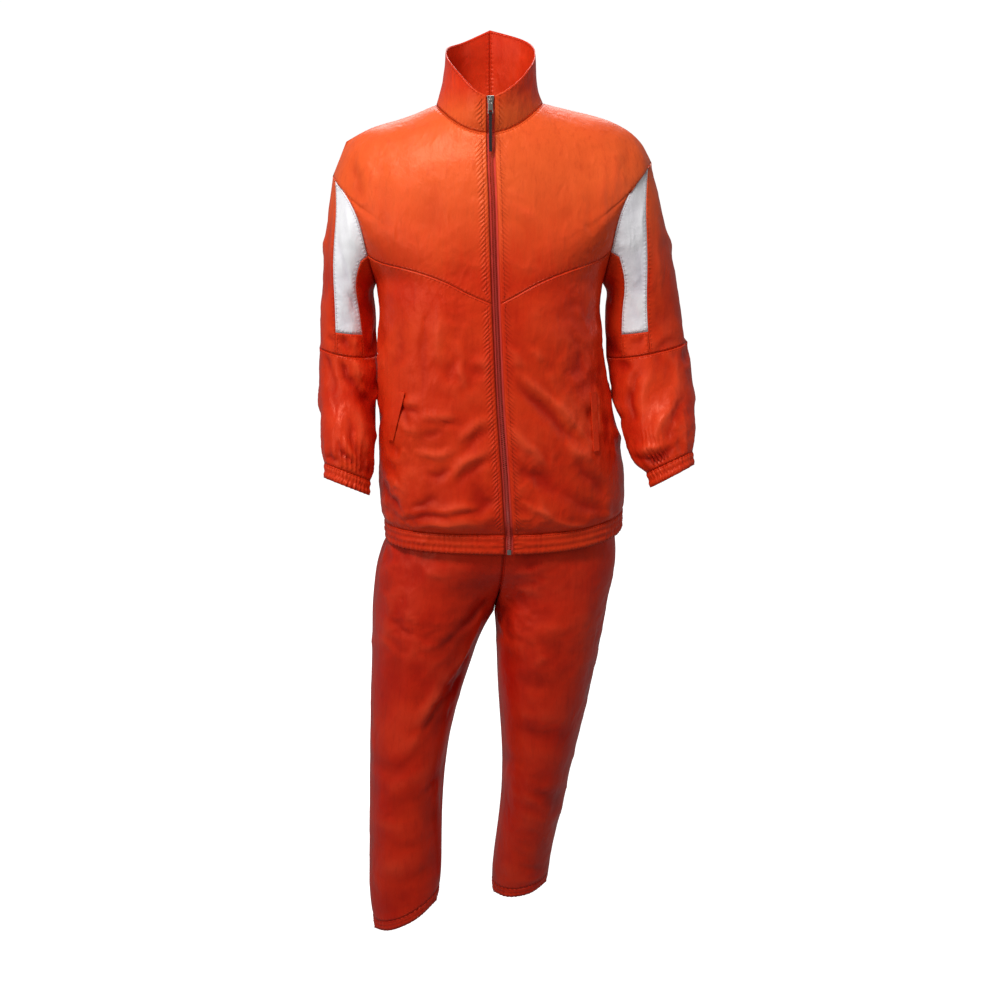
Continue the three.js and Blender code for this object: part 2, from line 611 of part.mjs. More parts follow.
// A seam within the body's surface, running down it or around it.
function torsoSeam(point, points, i, j, downwards) {
  const rows = points.length - 1;
  const columns = points[0].length - 1;
  const down = points[Math.min(i + 1, rows)][j].clone().sub(points[Math.max(i - 1, 0)][j]);
  const side = points[i][Math.min(j + 1, columns)].clone().sub(points[i][Math.max(j - 1, 0)]);
  const outside = point.clone().sub(bodyInside(point));
  return downwards ? flatSeam(down, side, outside) : flatSeam(side, down, outside);
}

function sideSeam(edgeAt) {
  return (side) => {
    const angle = side === "right" ? 180 : 0;
    const down = torso(angle, edgeAt + 0.05).sub(torso(angle, Math.max(edgeAt - 0.05, 0)));
    return seam(down, ACROSS_BODY, vec(side === "right" ? -1 : 1, 0, edgeAt < 4.5 ? 1 : 0));
  };
}

function bodySeams(side, face, point, edgeAt) {
  const found = [];
  if (edgeAt >= 4 && edgeAt <= 5) {
    const angle = armholeAngle(opened(edgeAt));
    found.push(armholeSeam(side, face === "front" ? angle : 360 - angle));
  }
  if (edgeAt <= 4 || edgeAt >= 5) found.push(sideSeam(edgeAt)(side));
  return found;
}

function gatherAbove(rowsLeft, j, size) {
  if (rowsLeft < 1 || rowsLeft > 3) return 0;
  return ((j % 2 ? 1 : -1) * size) / rowsLeft;
}

const fronts = {};
for (const side of SIDES) {
  const grid = (rows, atRow) =>
    rows.map((edgeAt) =>
      Array.from({ length: FRONT_COLUMNS + 1 }, (_, j) => {
        const u = j / FRONT_COLUMNS;
        return bodyPoint(side, "front", u, atRow(edgeAt, u), edgeAt);
      }),
    );
  const yokeGrid = grid(yokeRows, (at, u) => (at * yokeSeamAt(side, u)) / yokeAtArmhole);
  const lowerGrid = grid(lowerRows, (at, u) =>
    mix(yokeSeamAt(side, u), 10, (at - yokeAtArmhole) / (10 - yokeAtArmhole)),
  );
  const joined = [...yokeGrid, ...lowerGrid.slice(1)];
  const seamRow = yokeGrid.length - 1;
  const chest = (j) => torsoSeam(joined[seamRow][j], joined, seamRow, j, false);
  const yoke = cloth(`front_yoke_${side}`, JACKET, yokeGrid, {
    insideOf: bodyInside,
    seamsAt: (i, j) => {
      const found = [];
      if (i === 0) found.push(neckSeam(yokeGrid[i][j]));
      if (j === FRONT_COLUMNS) found.push(...bodySeams(side, "front", yokeGrid[i][j], yokeRows[i]));
      if (i === seamRow) found.push(chest(j));
      return found;
    },
  });
  const lower = cloth(`front_lower_${side}`, JACKET, lowerGrid, {
    insideOf: bodyInside,
    seamsAt: (i, j) => {
      const found = [];
      if (i === lowerRows.length - 1) found.push(bandSeam(lowerGrid[i][j]));
      if (j === FRONT_COLUMNS)
        found.push(...bodySeams(side, "front", lowerGrid[i][j], lowerRows[i]));
      if (i === 0) found.push(chest(j));
      return found;
    },
    relief: (i, j) => gatherAbove(lowerRows.length - 1 - i, j, j > 1 && j < FRONT_COLUMNS ? GATHER.hem : 0),
  });
  fronts[side] = { yoke, lower, yokeGrid, lowerGrid };
}

const backGrid = backRows.map((edgeAt) => {
  const half = (side) =>
    Array.from({ length: BACK_COLUMNS + 1 }, (_, j) =>
      bodyPoint(side, "back", j / BACK_COLUMNS, edgeAt, edgeAt),
    );
  return [...half("right").reverse(), ...half("left").slice(1)];
});
cloth("back", JACKET, backGrid, {
  insideOf: bodyInside,
  seamsAt: (i, j) => {
    const found = [];
    const side = j === 0 ? "right" : "left";
    if (i === 0) found.push(neckSeam(backGrid[i][j]));
    if (i === backRows.length - 1) found.push(bandSeam(backGrid[i][j]));
    if (j === 0 || j === 2 * BACK_COLUMNS)
      found.push(...bodySeams(side, "back", backGrid[i][j], backRows[i]));
    return found;
  },
  relief: (i, j) =>
    gatherAbove(backRows.length - 1 - i, j, j && j < 2 * BACK_COLUMNS ? GATHER.hem : 0),
});

// Collar
const collarColumns = FRONT_COLUMNS + BACK_COLUMNS;
for (const side of SIDES) {
  const back = backGrid[0];
  const backHalf = side === "right" ? back.slice(0, BACK_COLUMNS + 1) : back.slice(BACK_COLUMNS).reverse();
  const foot = [...fronts[side].yokeGrid[0], ...backHalf.slice(1)];
  const rim = COLLAR_RIM[side];
  const points = Array.from({ length: COLLAR_ROWS + 1 }, (_, i) =>
    foot.map((point, j) => {
      const w = j / collarColumns;
      const h = i / COLLAR_ROWS;
      const lean = 1 - (1 - h) ** COLLAR_FLARE;
      return vec(
        mix(point.x, along(rim, "x", w), lean),
        mix(point.y, along(rim, "y", w), lean),
        mix(point.z, along(rim, "z", w), h),
      );
    }),
  );
  const centreBack = (i) => {
    const rise = points[Math.min(i + 1, COLLAR_ROWS)][collarColumns].clone();
    rise.sub(points[Math.max(i - 1, 0)][collarColumns]);
    return seam(rise, vec(1, 0, 0), vec(0, 1, 0));
  };
  fronts[side].collar = cloth(`collar_${side}`, JACKET, points, {
    insideOf: (point) => vec(-4, -20, point.z),
    seamsAt: (i, j) => {
      const found = [];
      if (i === 0) found.push(neckSeam(points[i][j]));
      if (j === collarColumns) found.push(centreBack(i));
      return found;
    },
  });
}

// Hem band
const hemTop = [
  ...fronts.right.lowerGrid.at(-1),
  ...backGrid.at(-1).slice(1, -1),
  ...fronts.left.lowerGrid.at(-1).slice().reverse(),
];
const bandRows = [0, 0.5, 1];
const bandGrid = bandRows.map((share) =>
  hemTop.map((point) => {
    const out = bandSeam(point).normal;
    return point.clone().addScaledVector(out, 2 * share * (1 - share)).add(vec(0, 0, -BAND_HEIGHT * share));
  }),
);
const band = cloth("hem_band", RIB, bandGrid, {
  insideOf: (point) => vec(11, -11, point.z),
  seamsAt: (i, j) => (i === 0 ? [bandSeam(bandGrid[i][j])] : []),
  relief: (i, j) => (i && j && j < hemTop.length - 1 ? (j % 2 ? 1 : -1) * GATHER.band : 0),
});

// Sleeves
for (const side of SIDES) {
  const edges = WHITE_PANEL[side];
  const share = (angles) => angles.map((a) => (a - angles[0]) / (angles.at(-1) - angles[0]));
  const white = share(ARMHOLE_ANGLES.filter((a) => a >= 20 && a <= YOKE_ANGLE));
  const under = share(ARMHOLE_ANGLES.filter((a) => a >= YOKE_ANGLE));
  const aroundBack = share([20, ...ARMHOLE_ANGLES.map((a) => -a)]);
  const angleAt = {
    white: (f, at) => mix(straight(edges, "outer", at), straight(edges, "inner", at), f),
    under: (f, at) => mix(straight(edges, "inner", at), 180, f),
    outer: (f, at) => mix(straight(edges, "outer", at), -180, f),
  };
  const panel = (name, material, kind, fractions, rows) => {
    const angle = (j, at) => {
      if (at === 0 && kind === "outer") return [20, ...ARMHOLE_ANGLES.map((a) => -a)][j];
      return angleAt[kind](fractions[j], at);
    };
    const points = rows.map((at) => fractions.map((_, j) => sleeve(side, angle(j, at), at)));
    const last = rows.length - 1;
    return cloth(name, material, points, {
      insideOf: (point, i) => sleeveCentre(side, rows[i]),
      seamsAt: (i, j) => {
        const at = rows[i];
        const found = [];
        if (at === 0) found.push(armholeSeam(side, angle(j, at)));
        if (i === last || (i === 0 && at > 0)) found.push(sleeveSeam(side, angle(j, at), at, false));
        if (j === 0 || j === fractions.length - 1)
          found.push(sleeveSeam(side, angle(j, at), at, true));
        return found;
      },
    });
  };
  const whiteRows = UPPER_SLEEVE_ROWS.slice(0, WHITE_END_ROW + 1);
  panel(`sleeve_outer_${side}`, JACKET, "outer", aroundBack, UPPER_SLEEVE_ROWS);
  panel(`sleeve_white_${side}`, WHITE, "white", white, whiteRows);
  panel(`sleeve_strip_${side}`, JACKET, "white", white, UPPER_SLEEVE_ROWS.slice(WHITE_END_ROW));
  panel(`sleeve_under_${side}`, JACKET, "under", under, UPPER_SLEEVE_ROWS);

  const elbow = UPPER_SLEEVE_ROWS.at(-1);
  const loopAngles = [
    ...aroundBack.map((f) => angleAt.outer(f, elbow)).reverse(),
    ...white.slice(1).map((f) => angleAt.white(f, elbow)),
    ...under.slice(1, -1).map((f) => angleAt.under(f, elbow)),
  ];
  const count = loopAngles.length;
  const tube = (rows) =>
    rows.map((at) =>
      Array.from({ length: 2 * count }, (_, j) => {
        const k = Math.floor(j / 2);
        const a = loopAngles[k];
        const b = k + 1 < count ? loopAngles[k + 1] : loopAngles[0] + 360;
        if (j % 2 === 0) return sleeve(side, a, at);
        if (at === elbow) return sleeve(side, a, at).add(sleeve(side, b, at)).multiplyScalar(0.5);
        return sleeve(side, (a + b) / 2, at);
      }),
    );
  const tubeSeam = (at, j) => {
    const k = Math.floor(j / 2);
    const a = sleeveSeam(side, loopAngles[k], at, false);
    if (j % 2 === 0) return a;
    const b = sleeveSeam(side, k + 1 < count ? loopAngles[k + 1] : loopAngles[0] + 360, at, false);
    const normal = a.normal.clone().add(b.normal).multiplyScalar(0.5);
    return { normal, across: a.across.clone().add(b.across).normalize() };
  };
  const lowerPoints = tube(LOWER_SLEEVE_ROWS);
  const lastRow = LOWER_SLEEVE_ROWS.length - 1;
  cloth(`sleeve_lower_${side}`, JACKET, lowerPoints, {
    closed: true,
    insideOf: (point, i) => sleeveCentre(side, LOWER_SLEEVE_ROWS[i]),
    seamsAt: (i, j) => (i === 0 || i === lastRow ? [tubeSeam(LOWER_SLEEVE_ROWS[i], j)] : []),
    relief: (i, j) => gatherAbove(lastRow - i, j, GATHER.sleeve),
  });
  const cuffRows = [7, 7.5, 8];
  cloth(`cuff_${side}`, RIB, tube(cuffRows), {
    closed: true,
    insideOf: (point, i) => sleeveCentre(side, cuffRows[i]),
    seamsAt: (i, j) => (i === 0 ? [tubeSeam(cuffRows[i], j)] : []),
    relief: (i, j) => (i ? (j % 2 ? 1 : -1) * GATHER.band : 0),
  });
}

// Trousers
const legInside = (side) => (point, i) => {
  const at = LEG_ROWS[Math.min(i, LEG_ROWS.length - 1)];
  const centre = legPoint(side, "front", 0, at).add(legPoint(side, "back", 1, at));
  return vec(centre.x / 2, centre.y / 2, point.z);
};
const legGrids = {};
for (const side of SIDES) {
  for (const face of ["front", "back"]) {
    const points = LEG_ROWS.map((at) =>
      Array.from({ length: LEG_COLUMNS + 1 }, (_, j) => legPoint(side, face, j / LEG_COLUMNS, at)),
    );
    legGrids[side + face] = points;
    const hipCentre = legInside(side);
    cloth(`trouser_${face}_${side}`, TROUSER, points, {
      insideOf: (point, i) => hipCentre(point, i),
      seamsAt: (i, j) => {
        const at = LEG_ROWS[i];
        const found = [];
        if (i === 0) found.push(waistSeam(points[i][j]));
        if (i === LEG_ROWS.length - 1) found.push(ankleSeam(side, points[i][j]));
        if (j === 0) found.push(legSeam(side, face, 0, at));
        if (j === 0 && at === CROTCH_ROW) found.push({ ...found[0], across: ACROSS_BODY });
        if (j === LEG_COLUMNS) found.push(legSeam(side, face, 1, at));
        return found;
      },
      relief: (i, j) =>
        j && j < LEG_COLUMNS ? gatherAbove(LEG_ROWS.length - 1 - i, j, GATHER.ankle) : 0,
    });
  }
}

function ankleSeam(side, point) {
  const front = legPoint(side, "front", 0.5, 17);
  const back = legPoint(side, "back", 0.5, 17);
  const outer = legPoint(side, "front", 1, 17);
  const inner = legPoint(side, "front", 0, 17);
  const centre = front.clone().add(back).multiplyScalar(0.5);
  return radialSeam(point, centre, Math.abs(outer.x - inner.x) / 2, Math.abs(back.y - front.y) / 2);
}

for (const side of SIDES) {
  const loop = (at) => {
    const half = (face) =>
      Array.from({ length: LEG_COLUMNS + 1 }, (_, j) => legPoint(side, face, j / LEG_COLUMNS, at));
    return [...half("front"), ...half("back").reverse().slice(1, -1)];
  };
  const rows = [17, 17.5, 18];
  const points = rows.map(loop);
  cloth(`ankle_hem_${side}`, TROUSER, points, {
    closed: true,
    insideOf: (point) => vec((loop(17)[0].x + loop(17)[LEG_COLUMNS].x) / 2, loop(17)[0].y, point.z),
    seamsAt: (i, j) => (i === 0 ? [ankleSeam(side, points[i][j])] : []),
    relief: (i, j) => (i ? (j % 2 ? 1 : -1) * GATHER.band : 0),
  });
}

const waistLoop = [
  ...legGrids.rightfront[0],
  ...legGrids.rightback[0].slice().reverse().slice(1),
  ...legGrids.leftback[0].slice(1),
  ...legGrids.leftfront[0].slice().reverse().slice(1, -1),
];
const waistRows = [1, 0.5, 0];
const waistGrid = waistRows.map((share) =>
  waistLoop.map((point) => point.clone().add(vec(0, 0, WAISTBAND_HEIGHT * share))),
);
cloth("waistband", RIB, waistGrid, {
  closed: true,
  insideOf: (point) => vec(8, -7, point.z),
  seamsAt: (i, j) => (i === 2 ? [waistSeam(waistGrid[i][j])] : []),
  relief: (i, j) => (i < 2 ? (j % 2 ? 1 : -1) * GATHER.band : 0),
});

// Zip: the front edges' rows from the collar's top to the hem, with their wall directions.
function zipRows(side) {
  const { collar, yoke, lower } = fronts[side];
  const bandColumn = side === "right" ? 0 : hemTop.length - 1;
  const bandNext = side === "right" ? 1 : hemTop.length - 2;
  const take = (piece, column = 0, next = 1) =>
    piece.outer.map((row, i) => ({ edge: row[column], next: row[next], out: piece.normals[i][column] }));
  return [
    ...take(collar).reverse(),
    ...take(yoke).slice(1),
    ...take(lower).slice(1),
    ...take(band, bandColumn, bandNext).slice(1),
  ];
}
const zipSides = { right: zipRows("right"), left: zipRows("left") };
const zipLine = zipSides.right.map(({ edge, out }, i) => {
  const other = zipSides.left[i];
  return {
    centre: edge.clone().add(other.edge).multiplyScalar(0.5),
    out: out.clone().add(other.out).setX(0).normalize(),
  };
});

for (const side of SIDES) {
  const turn = side === "right" ? -1 : 1;
  const rows = zipSides[side];
  const faceAt = (depth) =>
    rows.map(({ edge, next, out }, i) => {
      const { centre, out: middleOut } = zipLine[i];
      const inner = centre.clone().add(vec(turn * TAPE_HALF_INNER, 0, 0)).addScaledVector(middleOut, -depth);
      const under = edge.clone().addScaledVector(out, -depth);
      const tucked = next.clone().sub(edge).setLength(TAPE_TUCK);
      return [inner, under, under.clone().add(tucked)];
    });
  addMesh(`zip_tape_${side}`, shell(faceAt(TAPE_DEPTH), faceAt(TAPE_DEPTH + TAPE_WALL), false), TAPE);
}

const sliderLow = zipLine[0].centre.clone().lerp(zipLine[1].centre, SLIDER.share);
const coilRows = [{ centre: sliderLow, out: zipLine[1].out }, ...zipLine.slice(1)];
const coilFace = (depth) =>
  coilRows.map(({ centre, out }) =>
    [-COIL_HALF, COIL_HALF].map((x) => centre.clone().add(vec(x, 0, 0)).addScaledVector(out, -depth)),
  );
addMesh("zip_coil", shell(coilFace(COIL_FACE), coilFace(COIL_FACE + COIL_THICK), false), TAPE);

// A flat outline in X and a length direction, given a thickness outwards from a start.
function plate(name, outline, material, { origin, length, out, from, thick }) {
  const options = { depth: thick, bevelEnabled: false, curveSegments: 3 };
  const geometry = new THREE.ExtrudeGeometry(outline, options);
  const basis = new THREE.Matrix4().makeBasis(vec(-1, 0, 0), length, out);
  geometry.applyMatrix4(basis.setPosition(origin.clone().addScaledVector(out, from)));
  addMesh(name, geometry, material);
}

// A side outline in a length and an outward direction, given a width along X.
function profile(name, outline, material, { origin, length, out, width }) {
  const options = { depth: width, bevelEnabled: false, curveSegments: 3 };
  const geometry = new THREE.ExtrudeGeometry(outline, options);
  const basis = new THREE.Matrix4().makeBasis(length, out, length.clone().cross(out));
  const side = length.clone().cross(out).multiplyScalar(-width / 2);
  geometry.applyMatrix4(basis.setPosition(origin.clone().add(side)));
  addMesh(name, geometry, material);
}

function ring(outer, hole) {
  const shape = new THREE.Shape(outer.map(([x, y]) => new THREE.Vector2(x, y)));
  if (hole) shape.holes.push(new THREE.Path(hole.map(([x, y]) => new THREE.Vector2(x, y))));
  return shape;
}
const frame = (x, low, high, top = x) => [[-top, low], [top, low], [x, high], [-x, high]];

// Slider, its crown, the puller and the tab, hanging in front of the zip.
const sliderDown = sliderLow.clone().sub(zipLine[0].centre).normalize();
const sliderOut = sliderDown.clone().cross(vec(1, 0, 0)).normalize();
if (sliderOut.y > 0) sliderOut.negate();
const sliderLength = sliderLow.distanceTo(zipLine[0].centre) - 2 * HALF_SEAM;
plate("zip_slider", ring(frame(SLIDER.low, 0, sliderLength, SLIDER.top)), METAL, {
  origin: zipLine[0].centre,
  length: sliderDown,
  out: sliderOut,
  from: SLIDER.face - SLIDER.thick,
  thick: SLIDER.thick,
});
const crownFoot = SLIDER.face + 2 * HALF_SEAM;
const crownAt = zipLine[0].centre.clone().addScaledVector(sliderDown, sliderLength / 2);
crownAt.addScaledVector(sliderOut, crownFoot);
const { reach, tall, bar } = CROWN;
const crownOutline = [
  [-reach, 0], [-reach, tall], [reach, tall], [reach, 0],
  [reach - bar, 0], [reach - bar, tall - bar], [bar - reach, tall - bar], [bar - reach, 0],
];
profile("zip_crown", ring(crownOutline), METAL, {
  origin: crownAt,
  length: sliderDown,
  out: sliderOut,
  width: CROWN.width,
});
const pivot = crownAt.clone().addScaledVector(sliderOut, CROWN.pivot);

// The tab hangs as straight as the cloth in front of it lets it.
let hang = 0;
for (const { centre } of zipLine) {
  const drop = pivot.z - centre.z;
  if (drop > 5 && drop < PULLER.length + TAB_PIECE.length)
    hang = Math.max(hang, Math.atan2(pivot.y - centre.y + TAB_PIECE.clear, drop));
}
const hangDown = vec(0, -Math.sin(hang), -Math.cos(hang));
const hangOut = vec(0, -Math.cos(hang), Math.sin(hang));
const pullerFrame = frame(PULLER.low, -PULLER.bar / 2, PULLER.length, PULLER.top);
const pullerEye = frame(PULLER.eye, PULLER.bar / 2, PULLER.eyeEnd);
const pullerShape = ring(pullerFrame, pullerEye);
pullerShape.holes.push(
  new THREE.Path(
    frame(PULLER.slot, PULLER.slotStart, PULLER.length - PULLER.bar).map(([x, y]) => new THREE.Vector2(x, y)),
  ),
);
plate("zip_puller", pullerShape, METAL, {
  origin: pivot,
  length: hangDown,
  out: hangOut,
  from: -PULLER.bar / 2,
  thick: PULLER.bar,
});
const barAt = PULLER.length - PULLER.bar / 2;
const eye = PULLER.bar / 2 + 2 * HALF_SEAM;
const head = eye + TAB_PIECE.wrap;
const half = TAB_PIECE.thick / 2;
const tabOutline = ring(
  [[-head, -head], [eye, -head], [head, -half], [TAB_PIECE.length, -half],
    [TAB_PIECE.length, half], [head, half], [eye, head], [-head, head]],
  [[-eye, -eye], [-eye, eye], [eye, eye], [eye, -eye]],
);
profile("zip_tab", tabOutline, TAB, {
  origin: pivot.clone().addScaledVector(hangDown, barAt),
  length: hangDown,
  out: hangOut,
  width: TAB_PIECE.width,
});

// Pocket welts, each a strip that lies on its lower front.

// The place of the outer face and its wall direction, found in the front view.
function onPiece(piece, x, z) {
  const { outer, normals } = piece;
  for (let i = 0; i < outer.length - 1; i += 1)
    for (let j = 0; j < outer[0].length - 1; j += 1)
      for (const corners of [[[i, j], [i + 1, j], [i + 1, j + 1]], [[i, j], [i + 1, j + 1], [i, j + 1]]]) {
        const [a, b, c] = corners.map(([k, m]) => outer[k][m]);
        const area = (b.x - a.x) * (c.z - a.z) - (c.x - a.x) * (b.z - a.z);
        const second = ((x - a.x) * (c.z - a.z) - (c.x - a.x) * (z - a.z)) / area;
        const third = ((b.x - a.x) * (z - a.z) - (x - a.x) * (b.z - a.z)) / area;
        if (second < 0 || third < 0 || second + third > 1) continue;
        const shares = [1 - second - third, second, third];
        const blend = (pick) =>
          corners.reduce((sum, [k, m], n) => sum.addScaledVector(pick(k, m), shares[n]), vec(0, 0, 0));
        return { place: blend((k, m) => outer[k][m]), out: blend((k, m) => normals[k][m]).normalize() };
      }
  throw new Error(`no cloth at ${x}, ${z}`);
}

for (const side of SIDES) {
  const { x1, z1, x2, z2 } = POCKETS[side];
  const rows = Array.from({ length: WELT.steps + 1 }, (_, k) => {
    const t = k / WELT.steps;
    return [-WELT.half, WELT.half].map((off) =>
      onPiece(fronts[side].lower, mix(x1, x2, t) + off, mix(z1, z2, t)),
    );
  });
  const face = (depth) =>
    rows.map((row) => row.map(({ place, out }) => place.clone().addScaledVector(out, depth)));
  addMesh(`pocket_welt_${side}`, shell(face(WELT.lift + WELT.thick), face(WELT.lift), false), JACKET);
}

export default group;
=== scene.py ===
"""Dressed model of a zipped nylon tracksuit: jacket, trousers, zip and studio, in metres.

Right and left are the suit's own, as it is worn.
"""
import logging
import math
from dataclasses import dataclass, field
from enum import Enum

import bmesh
import bpy
import numpy as np
from mathutils import Matrix, Vector, noise


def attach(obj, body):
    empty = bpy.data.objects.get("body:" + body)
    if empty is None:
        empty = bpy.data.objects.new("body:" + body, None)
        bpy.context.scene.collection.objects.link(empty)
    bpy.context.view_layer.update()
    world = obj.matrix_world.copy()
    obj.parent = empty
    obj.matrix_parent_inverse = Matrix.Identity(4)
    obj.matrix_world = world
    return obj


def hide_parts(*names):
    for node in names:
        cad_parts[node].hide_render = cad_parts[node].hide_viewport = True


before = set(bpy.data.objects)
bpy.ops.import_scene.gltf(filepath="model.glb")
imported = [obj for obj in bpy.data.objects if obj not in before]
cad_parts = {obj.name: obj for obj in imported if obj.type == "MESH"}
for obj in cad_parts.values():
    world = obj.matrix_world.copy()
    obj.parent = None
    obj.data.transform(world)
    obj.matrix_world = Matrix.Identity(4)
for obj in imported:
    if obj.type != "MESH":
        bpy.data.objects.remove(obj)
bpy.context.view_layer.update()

LOG = logging.getLogger("tracksuit")
MM = 0.001
GARMENT = "garment"
ZIP_PULL = "zip_pull"
# Thickness of the cloth's wall in the solids, which tells a cut edge from the cloth's two sides
SOLID_WALL = 2.0 * MM
# The cloth as it is shown, its lining included
CLOTH = 1.1 * MM
# A corner of one piece holds the edge of its neighbour within this distance
PIN_REACH = 2.5 * MM
# Two edges of a rim that stand at less than this angle meet in a corner
CORNER = math.radians(148)
# What the cloth hands to its material: how far a fold stands out, -1 to 1, and distances in mm
FOLD, SEAM_GAP, SEAM_RUN, STITCH_ROW = "fold", "seam_gap", "seam_run", "stitch_row"
# Rows of stitches lie this far from an edge, in mm: at a seam, beside the zip, and where there are none
SEAM_ROW, ZIP_ROW, NO_ROW = 2.4, 6.5, -9.0
# A trough of this depth, in mm, takes its whole painted shade, and a ridge of this height its strongest
# painted highlight
FULL_FOLD = 4.0


class Held(Enum):
    """How a cut piece is held, in the frame's own words."""

    HUNG = "hung"
    GATHERED = "gathered"


class Facing(Enum):
    """The side of the suit that a crease lies on, as an outward direction."""

    FRONT = (0.0, -1.0)
    BACK = (0.0, 1.0)
    RIGHT = (-1.0, 0.0)
    LEFT = (1.0, 0.0)


def linear(hex_colour: str) -> tuple[float, float, float, float]:
    """Turns an sRGB hex value into the linear colour that a shader takes.

    Args:
        hex_colour: six hex digits after a hash.

    Returns:
        Red, green, blue and alpha, linear.
    """
    channels = (int(hex_colour[i : i + 2], 16) / 255 for i in (1, 3, 5))
    turned = [c / 12.92 if c <= 0.04045 else ((c + 0.055) / 1.055) ** 2.4 for c in channels]
    return (turned[0], turned[1], turned[2], 1.0)


def per_metre(spacing_mm: float) -> float:
    """Turns a pattern's spacing in mm into the scale of its texture."""
    return 1 / (spacing_mm * MM)


def add_node(
    tree: bpy.types.NodeTree,
    kind: str,
    inputs: dict[int | str, object],
    output: int | str = 0,
    **settings: object,
) -> bpy.types.NodeSocket:
    """Adds one shader node with its settings and links.

    Args:
        tree: the material's node tree.
        kind: the node's type name.
        inputs: what each input takes, by socket name or number: a value, or a socket to link.
        output: the output to hand back, by name or number.
        settings: the node's options.

    Returns:
        The chosen output socket.
    """
    node = tree.nodes.new(kind)
    for name, value in settings.items():
        setattr(node, name, value)
    for name, value in inputs.items():
        if isinstance(value, bpy.types.NodeSocket):
            tree.links.new(value, node.inputs[name])
        else:
            node.inputs[name].default_value = value
    return node.outputs[output]


def new_material(name: str) -> tuple[bpy.types.Material, bpy.types.NodeTree, bpy.types.Node]:
    """Starts a node material.

    Args:
        name: the material's name.

    Returns:
        The material, its node tree and its shader.
    """
    material = bpy.data.materials.new(name)
    material.use_nodes = True
    tree = material.node_tree
    return material, tree, tree.nodes["Principled BSDF"]


MATH = "ShaderNodeMath"
MIX = "ShaderNodeMix"
NOISE = "ShaderNodeTexNoise"
ATTRIBUTE = "ShaderNodeAttribute"
# Numbers of a colour mix's two inputs and of its output
MIX_FIRST, MIX_SECOND, MIX_RESULT = 6, 7, 2


